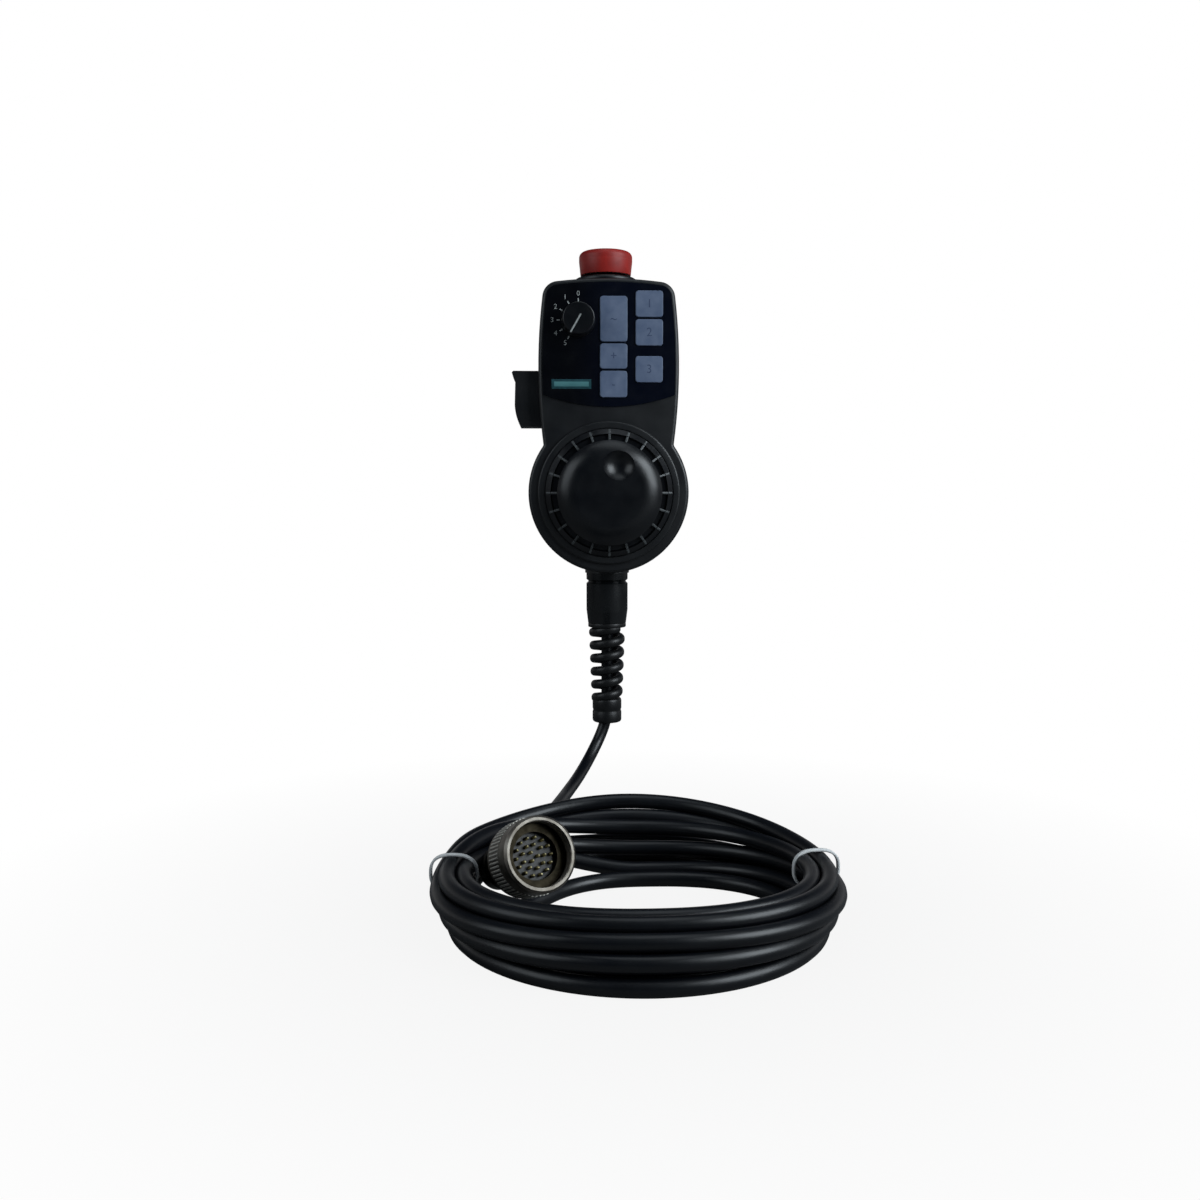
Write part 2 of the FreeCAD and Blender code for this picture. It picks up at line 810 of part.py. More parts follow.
def holding_magnets():
    magnets = [
        cylinder("magnet", s.magnet_radius, s.magnet_thickness, x, 0, z, FORWARD) for x, z in magnet_spots]
    return group("holding_magnets", magnets)


# Face panel, keys and the board behind them


def face_panel():
    body = new_body("face_panel")
    sheet_outline = front_sketch(body, s.housing_depth)
    draw_outline(sheet_outline, s.panel_inset)
    pad(body, sheet_outline, s.panel_thickness)
    below = front_sketch(body, panel_front)
    reach = s.drum_radius + s.panel_inset
    drop = root(s.panel_low_radius * s.panel_low_radius - reach * reach)
    side_z = s.panel_low_z + s.panel_low_radius - drop
    floor_z = s.drum_z - s.drum_radius
    draw(below, [(-reach, floor_z), (-reach, side_z), (reach, side_z, s.panel_low_radius), (reach, floor_z)])
    pocket(body, below, s.panel_thickness)
    pocket(body, circles(body, panel_front, [(s.selector_x, s.selector_z)], s.selector_bush_radius + s.snug),
           s.panel_thickness)
    windows = front_sketch(body, panel_front)
    for x, z, height in KEYS.values():
        width, tall = s.key_width + s.key_gap * 2, height + s.key_gap * 2
        draw_round_box(windows, x, z, width, tall, s.key_corner + s.key_gap)
    pocket(body, windows, s.panel_thickness)
    return body


def key(label):
    """A moulded key: a cap through its window, with a flange on each side that keeps it behind the wall."""
    x, z, height = KEYS[label]
    body = new_body(label)
    cap = front_sketch(body, key_back)
    draw_round_box(cap, x, z, s.key_width, height, s.key_corner)
    front = panel_front + s.key_proud
    pad(body, cap, front - key_back)
    round_edges(body, flat_at("y", -front), s.key_edge)
    flange = front_sketch(body, key_back)
    reach = s.key_width / 2 + s.key_flange
    draw_box(flange, x - reach, x + reach, z - height / 2 + s.key_corner, z + height / 2 - s.key_corner)
    pad(body, flange, s.key_flange_thickness)
    return body


def board(label, left, right, low, high, back, spots, hole):
    body = new_body(label)
    outline = front_sketch(body, back)
    draw_box(outline, left, right, low, high)
    pad(body, outline, s.board_thickness)
    pocket(body, circles(body, back + s.board_thickness, spots, hole), s.board_thickness)
    return body


def keypad_board():
    return board("keypad_board", s.keypad_left_x, s.keypad_right_x, s.keypad_low_z, s.keypad_high_z,
                 keypad_back, keypad_post_spots, s.small_screw_radius + s.snug)


def dome_switches():
    height = key_back - s.key_travel - s.snug - keypad_front
    edge = s.dome_radius / 2
    profile = [(0, 0), (s.dome_radius, 0), (s.dome_radius, height / 2), (edge, height), (0, height)]
    domes = [turned("dome_switch", profile, x, -keypad_front, z, FORWARD) for x, z, unused in KEYS.values()]
    return group("dome_switches", domes)


def board_screws():
    sizes = (s.small_screw_radius, s.small_screw_length, s.small_screw_head_radius, s.small_screw_head_height)
    key_board = [screw("keypad_screw", x, keypad_back, z, *sizes, FORWARD) for x, z in keypad_post_spots]
    main_board = [screw("board_screw", x, board_front, z, *sizes, -FORWARD) for x, z in board_post_spots]
    return group("board_screws", key_board + main_board)


def main_board():
    return board("main_board", s.board_left_x, s.board_right_x, s.board_low_z, s.board_high_z,
                 board_back, board_post_spots, s.small_screw_radius + s.snug)


# Rotary selector, measured forward from the panel


def selector_switch():
    body = new_body("selector_switch")
    back = wall_back - s.selector_body_depth
    case = front_sketch(body, back)
    half = s.selector_body_width / 2
    draw_box(case, s.selector_x - half, s.selector_x + half, s.selector_z - half, s.selector_z + half)
    pad(body, case, s.selector_body_depth)
    bush = front_sketch(body, wall_back)
    draw_circle(bush, s.selector_x, s.selector_z, s.selector_bush_radius)
    bush_front = panel_front + s.selector_bush_proud
    pad(body, bush, bush_front - wall_back)
    bore = front_sketch(body, bush_front)
    draw_circle(bore, s.selector_x, s.selector_z, s.selector_shaft_radius + s.running)
    pocket(body, bore, bush_front - back - s.front_wall)
    return body


def selector_nut():
    body = new_body("selector_nut")
    hexagon = front_sketch(body, panel_front)
    draw(hexagon, [
        (s.selector_x + s.selector_nut_radius * math.cos(math.radians(turn)),
         s.selector_z + s.selector_nut_radius * math.sin(math.radians(turn)))
        for turn in range(0, 360, 60)])
    pad(body, hexagon, s.selector_nut_height)
    hole = circles(body, panel_front + s.selector_nut_height, [(s.selector_x, s.selector_z)],
                   s.selector_bush_radius + s.snug)
    pocket(body, hole, s.selector_nut_height)
    return body


selector_shaft_end = s.knob_height - s.selector_nut_height


def selector_shaft():
    low = wall_back - s.selector_body_depth + s.front_wall + s.gap - panel_front
    profile = [
        (0, low), (s.selector_shaft_radius, low), (s.selector_shaft_radius, selector_shaft_end),
        (0, selector_shaft_end),
    ]
    return turned("selector_shaft", profile, s.selector_x, -panel_front, s.selector_z, FORWARD)


def selector_knob():
    skirt = s.selector_nut_radius + s.gap * 2
    ceiling = s.selector_bush_proud + s.gap
    edge = s.knob_taper
    profile = [
        (s.selector_shaft_radius, ceiling), (skirt, ceiling), (skirt, s.gap), (s.knob_radius, s.gap),
        (s.knob_radius, ceiling), (s.knob_radius - s.knob_taper, s.knob_height - edge),
        (s.knob_radius - s.knob_taper - edge, s.knob_height, edge), (0, s.knob_height),
        (0, selector_shaft_end), (s.selector_shaft_radius, selector_shaft_end),
    ]
    return turned("selector_knob", profile, s.selector_x, -panel_front, s.selector_z, FORWARD)


# Emergency stop, measured up from its seat on the housing

stop_wall = s.estop_seat_z - s.top_z + s.wall + s.gap
stop_head_low = s.estop_collar_height + s.estop_travel + s.gap
stop_stem_top = stop_head_low + s.estop_head_height / 2
stop_block_top = -stop_wall - s.estop_nut_height


def on_stop_axis(label, profile):
    return turned(label, profile, s.estop_x, -stop_depth, s.estop_seat_z)


def estop_collar():
    bore = s.estop_stem_radius + s.running
    low = stop_block_top
    profile = [
        (bore, low), (s.estop_neck_radius, low), (s.estop_neck_radius, 0), (s.estop_collar_radius, 0),
        (s.estop_collar_radius, s.estop_collar_height / 2),
        (s.estop_collar_radius - s.estop_collar_height / 2, s.estop_collar_height),
        (bore, s.estop_collar_height),
    ]
    return on_stop_axis("estop_collar", profile)


def estop_nut():
    bore = s.estop_neck_radius + s.snug
    return on_stop_axis("estop_nut", [
        (bore, stop_block_top), (s.estop_nut_radius, stop_block_top), (s.estop_nut_radius, -stop_wall),
        (bore, -stop_wall)])


stop_stem_low = stop_block_top - s.estop_block_height / 2


def estop_plunger():
    return on_stop_axis("estop_plunger", [
        (0, stop_stem_low), (s.estop_stem_radius, stop_stem_low), (s.estop_stem_radius, stop_stem_top),
        (0, stop_stem_top)])


def estop_head():
    bore = s.estop_stem_radius + s.running
    high = stop_head_low + s.estop_head_height
    ceiling = stop_stem_top + s.snug
    widest = stop_head_low + s.estop_head_height / 2
    return on_stop_axis("estop_head", [
        (bore, stop_head_low), (s.estop_head_foot_radius, stop_head_low), (s.estop_head_radius, widest),
        (s.estop_head_radius, high - s.estop_head_round),
        (s.estop_head_radius - s.estop_head_round, high, s.estop_head_round), (0, high), (0, ceiling),
        (bore, ceiling)])


def estop_contact_block():
    body = new_body("estop_contact_block")
    low = s.estop_seat_z + stop_block_top - s.estop_block_height
    case = sketch_on(body, "XY_Plane", low)
    half = s.estop_block_width / 2
    draw_box(case, s.estop_x - half, s.estop_x + half, -stop_depth - half, -stop_depth + half)
    pad(body, case, s.estop_block_height)
    bore = sketch_on(body, "XY_Plane", low + s.estop_block_height)
    draw_circle(bore, s.estop_x, -stop_depth, s.estop_stem_radius + s.running)
    pocket(body, bore, s.estop_block_height / 2 + s.estop_travel + s.gap)
    return body


# Handwheel, measured forward from the housing's face

wheel_front = s.wheel_front_rise
wheel_cavity = wheel_front - s.dimple_depth - s.wheel_back_gap * 2
wheel_shaft_end = wheel_cavity + s.snug


def on_wheel_axis(label, profile):
    return turned(label, profile, 0, -s.housing_depth, s.drum_z, FORWARD)


def handwheel():
    """A domed disc with a sloping skirt, a groove round the disc, radial grip ribs and a finger dimple."""
    body = new_body("wheel_casting")
    drop = s.wheel_shoulder_drop
    shoulder = s.wheel_disc_radius - s.wheel_flat_radius
    shoulder_radius = (shoulder * shoulder + drop * drop) / (drop * 2)
    skirt = s.wheel_skirt_rise
    rim = s.wheel_rim_rise
    inside = s.wheel_disc_radius - s.wheel_wall
    low = s.wheel_back_gap
    groove = skirt - s.wheel_groove_drop
    section = sketch_on(body, "XZ_Plane")
    draw(section, [
        (s.wheel_shaft_radius, low), (s.hub_radius, low),
        (s.hub_radius, wheel_cavity), (inside, wheel_cavity),
        (inside, low), (s.wheel_skirt_radius, low), (s.wheel_skirt_radius, rim),
        (s.wheel_groove_radius + s.wheel_groove_drop / 2, skirt), (s.wheel_groove_radius, groove),
        (s.wheel_disc_radius, groove), (s.wheel_disc_radius, wheel_front - drop),
        (s.wheel_flat_radius, wheel_front, shoulder_radius), (0, wheel_front), (0, wheel_shaft_end),
        (s.wheel_shaft_radius, wheel_shaft_end),
    ])
    revolve(body, section)
    rib_section = sketch_on(body, "XZ_Plane", -s.wheel_rib_width / 2)
    rib_start = s.wheel_disc_radius - s.wheel_wall / 2
    rib_end = s.wheel_skirt_radius - s.wheel_back_gap
    rib_low = (low + rim) / 2
    draw(rib_section, [
        (rib_start, rib_low), (rib_end, rib_low), (rib_end, rim + s.wheel_rib_rise),
        (rib_start, skirt + s.wheel_rib_rise * 2)])
    rib = pad(body, rib_section, s.wheel_rib_width)
    doc.recompute()
    ribs = body.newObject("PartDesign::PolarPattern", "wheel_ribs")
    ribs.Originals = [rib]
    ribs.Axis = (next(item for item in body.Origin.OriginFeatures if item.Role == "Z_Axis"), [""])
    ribs.Angle = 360.0
    bind(ribs, "Occurrences", s.wheel_rib_count)
    body.Tip = ribs
    place(body, 0, -s.housing_depth, s.drum_z, FORWARD)
    ball = doc.addObject("Part::Sphere", "dimple")
    bind(ball, "Radius", s.dimple_radius)
    turn = math.radians(SIZES["dimple_turn"])
    ball_y = s.dimple_depth - s.housing_depth - wheel_front - s.dimple_radius
    place(ball, s.dimple_offset * math.sin(turn), ball_y, s.drum_z + s.dimple_offset * math.cos(turn))
    return cut("handwheel", body, ball)


encoder_front = -s.front_wall - s.encoder_boss_length


def wheel_shaft():
    low = encoder_front - s.encoder_length
    return on_wheel_axis("wheel_shaft", [
        (0, low), (s.wheel_shaft_radius, low), (s.wheel_shaft_radius, wheel_shaft_end), (0, wheel_shaft_end)])


def wheel_bearing():
    bore = s.wheel_shaft_radius + s.running
    seat = -s.front_wall
    low = encoder_front
    return on_wheel_axis("wheel_bearing", [
        (bore, low), (s.bearing_flange_radius, low),
        (s.bearing_flange_radius, seat), (s.bearing_radius, seat),
        (s.bearing_radius, 0), (bore, 0)])


def wheel_bezel():
    inner = s.wheel_skirt_radius + s.bezel_gap
    edge = s.bezel_height / 2
    return on_wheel_axis("wheel_bezel", [
        (inner, 0), (s.bezel_radius, 0), (s.bezel_radius, s.bezel_height - edge),
        (s.bezel_radius - edge, s.bezel_height, edge), (inner, s.bezel_height)])


def encoder():
    body = new_body("encoder")
    bore = s.wheel_shaft_radius + s.running
    flange = encoder_front - s.encoder_flange_thickness
    low = encoder_front - s.encoder_length - s.encoder_flange_thickness
    section = sketch_on(body, "XZ_Plane")
    draw(section, [
        (0, low), (s.encoder_radius, low), (s.encoder_radius, flange), (s.encoder_flange_radius, flange),
        (s.encoder_flange_radius, encoder_front), (bore, encoder_front), (bore, low + s.front_wall),
        (0, low + s.front_wall)])
    revolve(body, section)
    holes = sketch_on(body, "XY_Plane", encoder_front)
    for x, z in encoder_screw_spots:
        draw_circle(holes, x, z - s.drum_z, s.screw_radius + s.snug)
    pocket(body, holes, s.encoder_flange_thickness)
    return place(body, 0, -s.housing_depth, s.drum_z, FORWARD)


def encoder_screws():
    depth = s.housing_depth + encoder_front - s.encoder_flange_thickness
    screws = [
        screw("encoder_screw", x, depth, z, s.screw_radius, s.small_screw_length * 1.5, s.screw_head_radius,
              s.screw_head_height, FORWARD)
        for x, z in encoder_screw_spots]
    return group("encoder_screws", screws)


# Enabling lever on the left side


def enable_lever():
    body = new_body("enable_lever")
    side = front_sketch(body, lever_back)
    x = s.lever_x
    lip_z = s.lever_high_z - s.lever_lip / 2
    waist_z = s.lever_high_z - s.lever_lip * 3
    heel_z = s.lever_low_z + s.lever_heel * 2.6
    inner_top = s.lever_high_z - s.lever_heel
    draw(side, [
        (s.lever_inner_x, s.lever_low_z), (s.lever_inner_x, inner_top),
        (s.lever_inner_x - s.lever_heel, s.lever_high_z), (x + s.lever_lip / 2, s.lever_high_z),
        (x, lip_z, s.lever_lip), (x + s.lever_lip, waist_z, s.lever_heel * 4),
        (x + s.lever_lip * 0.8, heel_z), (x + s.lever_heel, s.lever_low_z, s.lever_heel * 6),
    ])
    pad(body, side, lever_width)
    hole = circles(body, lever_front, [(s.lever_pin_x, s.lever_pin_z)], s.lever_pin_radius + s.running)
    pocket(body, hole, lever_width)
    return body


def lever_pin():
    length = lever_width + (s.gap + s.ear_thickness) * 2
    depth = lever_back - s.gap - s.ear_thickness
    return cylinder("lever_pin", s.lever_pin_radius, length, s.lever_pin_x, -depth, s.lever_pin_z, FORWARD)


def enable_plunger():
    return cylinder("enable_plunger", s.plunger_radius, s.plunger_length, s.lever_inner_x + s.gap,
                    -lever_depth, s.plunger_z, -LEFTWARD)


def enable_switch():
    body = new_body("enable_switch")
    case = sketch_on(body, "YZ_Plane", enable_switch_left)
    half = s.enable_switch_width / 2
    rise = s.enable_switch_height / 2
    draw_box(case, -lever_depth - half, -lever_depth + half, s.plunger_z - rise, s.plunger_z + rise)
    pad(body, case, s.enable_switch_length)
    bore_end = s.lever_inner_x + s.gap + s.plunger_length + s.plunger_proud
    bore = sketch_on(body, "YZ_Plane", bore_end)
    draw_circle(bore, -lever_depth, s.plunger_z, s.plunger_radius + s.running)
    pocket(body, bore, bore_end - enable_switch_left)
    return body


# Gland, bend protector and cable, round a vertical axis below the housing


def on_gland_axis(label, profile):
    return turned(label, profile, 0, -s.gland_depth, 0)


def gland_body():
    bore = s.cable_radius + s.snug
    neck = s.gland_seat_z + s.gland_neck_length
    seal_low = s.gland_low_z + s.gland_seal_length
    seal_bore = s.gland_neck_radius
    groove = s.wall / 2
    foot = s.gland_foot_radius
    return on_gland_axis("gland_body", [
        (seal_bore, s.gland_low_z), (foot, s.gland_low_z),
        (s.gland_radius, s.gland_low_z + s.gland_seal_length),
        (s.gland_radius, s.gland_seat_z - s.wall * 2 - groove),
        (s.gland_radius - groove, s.gland_seat_z - s.wall * 2),
        (s.gland_radius, s.gland_seat_z - s.wall * 2 + groove), (s.gland_radius, s.gland_seat_z),
        (s.gland_neck_radius, s.gland_seat_z), (s.gland_neck_radius, neck), (bore, neck), (bore, seal_low),
        (seal_bore, seal_low)])


def gland_nut():
    inside = s.drum_radius - s.wall
    low = s.drum_z - root(inside * inside - s.gland_nut_radius * s.gland_nut_radius)
    bore = s.gland_neck_radius + s.snug
    high = low + s.gland_nut_height
    return on_gland_axis("gland_nut", [
        (bore, low), (s.gland_nut_radius, low), (s.gland_nut_radius, high), (bore, high)])


def gland_seal():
    bore = s.cable_radius + s.snug
    outer = s.gland_neck_radius - s.snug
    high = s.gland_low_z + s.gland_seal_length
    low = s.gland_low_z
    return on_gland_axis("gland_seal", [(bore, low), (outer, low), (outer, high), (bore, high)])


def bend_protector():
    """A collar under the gland, a left-handed tapering spiral strand, and an end collar round the cable."""
    body = new_body("bend_protector")
    bore = s.cable_radius + s.snug
    collar_inner = s.spiral_radius - s.spiral_thickness - s.gap
    collar_outer = s.spiral_radius + s.gap
    collar_low = s.gland_low_z - s.spiral_strand / 2
    end_collar = sketch_on(body, "XZ_Plane")
    edge = s.wall / 2
    draw(end_collar, [
        (bore, s.boot_low_z), (s.boot_radius - edge, s.boot_low_z),
        (s.boot_radius, s.boot_low_z + edge, edge), (s.boot_radius, s.spiral_low_z - edge),
        (s.boot_radius - edge, s.spiral_low_z), (bore, s.spiral_low_z)])
    revolve(body, end_collar)
    strand = sketch_on(body, "XZ_Plane")
    low = s.spiral_low_z - s.spiral_strand / 2
    strand_inner = s.spiral_end_radius - s.spiral_thickness
    draw_box(strand, strand_inner, s.spiral_end_radius, low, low + s.spiral_strand)
    height = s.gland_low_z - s.gap - s.spiral_strand - low
    spiral = body.newObject("PartDesign::AdditiveHelix", "spiral_strand")
    spiral.Profile = strand
    spiral.ReferenceAxis = (strand, ["V_Axis"])
    spiral.Mode = "pitch-height-angle"
    bind(spiral, "Pitch", s.spiral_pitch)
    bind(spiral, "Height", height)
    taper = math.degrees(math.atan2(SIZES["spiral_radius"] - SIZES["spiral_end_radius"], height.number))
    spiral.Angle = taper
    spiral.LeftHanded = True
    doc.recompute()
    top_collar = sketch_on(body, "XZ_Plane")
    draw(top_collar, [
        (collar_inner, collar_low), (collar_outer, collar_low), (collar_outer, s.gland_low_z),
        (collar_inner, s.gland_low_z)])
    revolve(body, top_collar)
    return place(body, 0, -s.gland_depth, 0)


lead_start_z = s.boot_low_z + s.gland_seal_length


def cable_entry():
    profile = [
        (0, lead_start_z), (s.cable_radius, lead_start_z),
        (s.cable_radius, s.cable_entry_z), (0, s.cable_entry_z)]
    return on_gland_axis("cable_entry", profile)


# The lead's route from the end collar down to the floor and forward to the coil
LEAD_ROUTE = [
    (0.0, -22.0, -172.5), (0.0, -22.0, -185.0), (-6.5, -25.5, -193.5), (-13.5, -36.0, -202.5),
    (-20.0, -54.0, -209.0), (-27.0, -76.0, -212.0), (-31.5, -100.0, -212.0), (-37.0, -126.0, -212.0),
    (-45.0, -153.0, -212.0), (-54.5, -181.0, -212.0), (-64.5, -208.0, -212.0), (-72.0, -233.0, -212.0),
    (-75.5, -252.0, -212.0),
]
RUN_SHARE = 0.45


def cord_tube(label, route):
    """A tube along straight runs joined by tangent arcs, each as large as its two runs allow."""
    spots = [FreeCAD.Vector(*spot) for spot in route]
    edges = []
    radii = []
    here = spots[0]
    for before, corner, after in zip(spots, spots[1:], spots[2:]):
        back = (before - corner).normalize()
        ahead = (after - corner).normalize()
        reach = RUN_SHARE * min((before - corner).Length, (after - corner).Length)
        half_turn = (math.pi - back.getAngle(ahead)) / 2
        radius = reach / math.tan(half_turn)
        radii.append(radius)
        start = corner + back * reach
        end = corner + ahead * reach
        middle_way = (back + ahead).normalize()
        middle = corner + middle_way * (radius / math.cos(half_turn) - radius)
        edges.append(Part.LineSegment(here, start).toShape())
        edges.append(Part.Arc(start, middle, end).toShape())
        here = end
    edges.append(Part.LineSegment(here, spots[-1]).toShape())
    path = Part.Wire(edges)
    section = Part.Wire(Part.Circle(spots[0], spots[1] - spots[0], SIZES["cable_radius"]).toShape())
    tube = path.makePipeShell([section], True, False)
    expected = math.pi * SIZES["cable_radius"] ** 2 * path.Length
    print(label, "length %.1f" % path.Length, "radii", [round(radius, 1) for radius in radii])
    print(label, "volume over section times length: %.4f" % (tube.Volume / expected))
    piece = doc.addObject("Part::Feature", label)
    piece.Label = label
    piece.Shape = tube
    return piece


# Coil of cable, tied at two places, measured from its own middle


def coil_section(sketch, radius, half_width, margin):
    """A section of the bundle at a distance from the coil's middle, grown by a margin."""
    draw_round_box(sketch, radius, as_size(0), (half_width + margin) * 2, (s.coil_half_height + margin) * 2,
                   half_width - s.wall + margin)


def cable_coil():
    ring = new_body("coil_ring")
    section = sketch_on(ring, "XZ_Plane")
    coil_section(section, s.coil_radius, s.coil_half_width, as_size(0))
    revolve(ring, section)
    place(ring, 0, s.coil_y, s.coil_z)
    room = s.coil_clearance
    tail = s.shell_length + s.clamp_length
    mouth = s.nut_radius
    space = on_connector_axis("connector_space", [
        (0, -tail - room), (s.clamp_radius + room, -tail - room),
        (s.clamp_radius + room, -s.shell_length - room),
        (s.shell_radius + room, -s.shell_length - room), (s.shell_radius + room, -s.nut_length - room),
        (s.nut_radius + room, -s.nut_length - room), (s.nut_radius + room, mouth), (0, mouth)])
    return cut("cable_coil", ring, space)


def cable_tie(label, turn):
    body = new_body(label)
    section = sketch_on(body, "XZ_Plane")
    coil_section(section, s.tie_radius, s.tie_half_width, s.gap)
    coil_section(section, s.tie_radius, s.tie_half_width, s.gap + s.tie_thickness)
    band = revolve(body, section)
    bind(band, "Angle", s.tie_width / s.coil_radius * math.degrees(1))
    place(body, 0, s.coil_y, s.coil_z)
    body.Placement = FreeCAD.Placement(body.Placement.Base, FreeCAD.Rotation(UP, turn))
    return body


# Circular connector, measured along its own axis from the mouth of its coupling nut

connector_turn = math.radians(SIZES["connector_turn"])
connector_rise = math.radians(SIZES["connector_rise"])
connector_axis = FreeCAD.Vector(
    math.sin(connector_turn) * math.cos(connector_rise),
    -math.cos(connector_turn) * math.cos(connector_rise),
    math.sin(connector_rise))


def on_connector_axis(label, profile):
    return turned(label, profile, s.connector_x, s.connector_y, s.connector_z, connector_axis)


shell_front = -s.nut_mouth_depth
insert_front = shell_front - s.insert_recess
nut_seat = -s.nut_length + s.nut_back_wall


def connector_nut():
    edge = s.nut_back_wall / 3
    throat = s.shell_radius + s.running
    relief = s.nut_mouth_radius + s.nut_relief
    return on_connector_axis("connector_nut", [
        (s.nut_mouth_radius, 0), (s.nut_mouth_radius, -s.nut_thread_length), (relief, -s.nut_thread_length),
        (relief, nut_seat), (throat, nut_seat), (throat, -s.nut_length),
        (s.nut_radius - edge, -s.nut_length), (s.nut_radius, -s.nut_length + edge), (s.nut_radius, -edge),
        (s.nut_radius - edge, 0)])


def connector_shell():
    flange = s.nut_mouth_radius - s.gap
    bore = s.insert_radius + s.snug
    insert_back = insert_front - s.insert_length
    cable_bore = s.cable_radius + s.snug
    flange_back = nut_seat + s.snug
    return on_connector_axis("connector_shell", [
        (bore, shell_front), (bore, insert_back), (cable_bore, insert_back), (cable_bore, -s.shell_length),
        (s.shell_radius, -s.shell_length), (s.shell_radius, flange_back), (flange, flange_back),
        (flange, shell_front)])


def connector_insert():
    back = insert_front - s.insert_length
    return on_connector_axis("connector_insert", [
        (0, back), (s.insert_radius, back), (s.insert_radius, insert_front), (0, insert_front)])


def connector_pins():
    pins = []
    rings = (
        (s.outer_contact_count, s.outer_ring_share), (s.middle_contact_count, s.middle_ring_share),
        (s.inner_contact_count, s.inner_ring_share))
    for contact_count, ring_share in rings:
        ring = s.insert_radius * ring_share
        for contact in range(int(contact_count.number)):
            turn = 2 * math.pi * contact / contact_count.number
            x, y = ring * math.cos(turn), ring * math.sin(turn)
            pins.append(cylinder("contact", s.pin_radius, s.pin_length, x, y, insert_front))
    whole = group("connector_pins", pins)
    return place(whole, s.connector_x, s.connector_y, s.connector_z, connector_axis)


def connector_clamp():
    high = -s.shell_length
    low = high - s.clamp_length
    bore = s.cable_radius + s.snug
    shoulder = low + s.clamp_length / 3
    return on_connector_axis("connector_clamp", [
        (bore, low), (s.clamp_foot_radius, low), (s.clamp_radius, shoulder),
        (s.clamp_radius, high), (bore, high)])


def cable_tail():
    """The last of the cable, from the connector's shell back into the coil."""
    high = -s.shell_length
    low = high - s.clamp_length - s.coil_clearance
    section = [(0, low), (s.cable_radius, low), (s.cable_radius, high), (0, high)]
    return on_connector_axis("cable_tail", section)


LEFT_TIE_TURN = 178.5
RIGHT_TIE_TURN = -1.5

made = [
    front_housing(), rear_cover(), cover_seal(), cover_screws(), holding_magnets(),
    face_panel(), keypad_board(), dome_switches(), board_screws(), main_board(),
    selector_switch(), selector_nut(), selector_shaft(), selector_knob(),
    estop_collar(), estop_nut(), estop_plunger(), estop_head(), estop_contact_block(),
    handwheel(), wheel_shaft(), wheel_bearing(), wheel_bezel(), encoder(), encoder_screws(),
    enable_lever(), lever_pin(), enable_plunger(), enable_switch(),
    gland_body(), gland_nut(), gland_seal(), bend_protector(), cable_entry(),
    cord_tube("cable_lead", LEAD_ROUTE), cable_coil(), cable_tie("tie_left", LEFT_TIE_TURN),
    cable_tie("tie_right", RIGHT_TIE_TURN), cable_tail(),
    connector_nut(), connector_shell(), connector_insert(), connector_pins(), connector_clamp(),
]
made += [key(label) for label in KEYS]
doc.recompute()

# Every object is sound before anything is written
for thing in doc.Objects:
    if "Invalid" in thing.State or "Error" in thing.State:
        raise RuntimeError("%s did not rebuild" % thing.Label)
for piece in made:
    if piece.Shape.isNull() or not piece.Shape.isValid() or not piece.Shape.Solids:
        raise RuntimeError("%s has no sound shape" % piece.Label)

os.makedirs("parts", exist_ok=True)
for piece in made:
    piece.Shape.exportStep("parts/%s.step" % piece.Label)
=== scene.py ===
"""A handheld control unit with its coiled cable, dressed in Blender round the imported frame.

Lengths are written in millimetres in the frame of the part: +X to the right of a person who faces the unit,
+Y out of its flat back, +Z up. They become metres where they are handed to Blender.
"""

import json
import math

import bpy
from mathutils import Matrix, Vector


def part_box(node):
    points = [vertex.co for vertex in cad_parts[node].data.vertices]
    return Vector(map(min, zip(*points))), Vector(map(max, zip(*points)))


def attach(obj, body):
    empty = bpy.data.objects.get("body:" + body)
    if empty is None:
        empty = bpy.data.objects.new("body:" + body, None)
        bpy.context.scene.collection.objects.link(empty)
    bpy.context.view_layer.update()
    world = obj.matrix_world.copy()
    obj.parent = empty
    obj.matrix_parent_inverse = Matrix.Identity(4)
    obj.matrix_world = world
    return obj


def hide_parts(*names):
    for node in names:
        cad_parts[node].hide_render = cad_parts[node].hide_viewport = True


MM = 0.001

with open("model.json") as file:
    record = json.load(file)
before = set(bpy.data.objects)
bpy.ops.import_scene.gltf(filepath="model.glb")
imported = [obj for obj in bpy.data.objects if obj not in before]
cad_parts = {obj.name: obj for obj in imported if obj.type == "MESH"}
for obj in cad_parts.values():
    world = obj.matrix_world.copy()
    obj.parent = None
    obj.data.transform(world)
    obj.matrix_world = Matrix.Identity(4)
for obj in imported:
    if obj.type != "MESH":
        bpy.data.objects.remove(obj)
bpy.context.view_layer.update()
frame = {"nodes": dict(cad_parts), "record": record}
nodes = frame["nodes"]

FLOOR_Z = -215.5


# Camera

CAMERA_AT = (-37, -753, -38)
CAMERA_DOWN = math.radians(5.25)
CAMERA_RIGHT = math.radians(2.56)
CAMERA_CLIP = 10
IMAGE_PIXELS = 1200
FOCAL_PIXELS = 1198


def add_camera():
    """The photograph's view: three quarters of a metre in front, as high as the handwheel, looking down a
    little."""
    data = bpy.data.cameras.new("camera")
    data.lens = data.sensor_width * FOCAL_PIXELS / IMAGE_PIXELS
    data.clip_start = CAMERA_CLIP * MM
    camera = place_object("camera", data)
    camera.location = Vector(CAMERA_AT) * MM
    level = math.cos(CAMERA_DOWN)
    forward = Vector((
        math.sin(CAMERA_RIGHT) * level, math.cos(CAMERA_RIGHT) * level, -math.sin(CAMERA_DOWN)))
    camera.rotation_euler = forward.to_track_quat("-Z", "Y").to_euler()
    bpy.context.scene.camera = camera


# Connector's own axis, from the mouth of its coupling nut

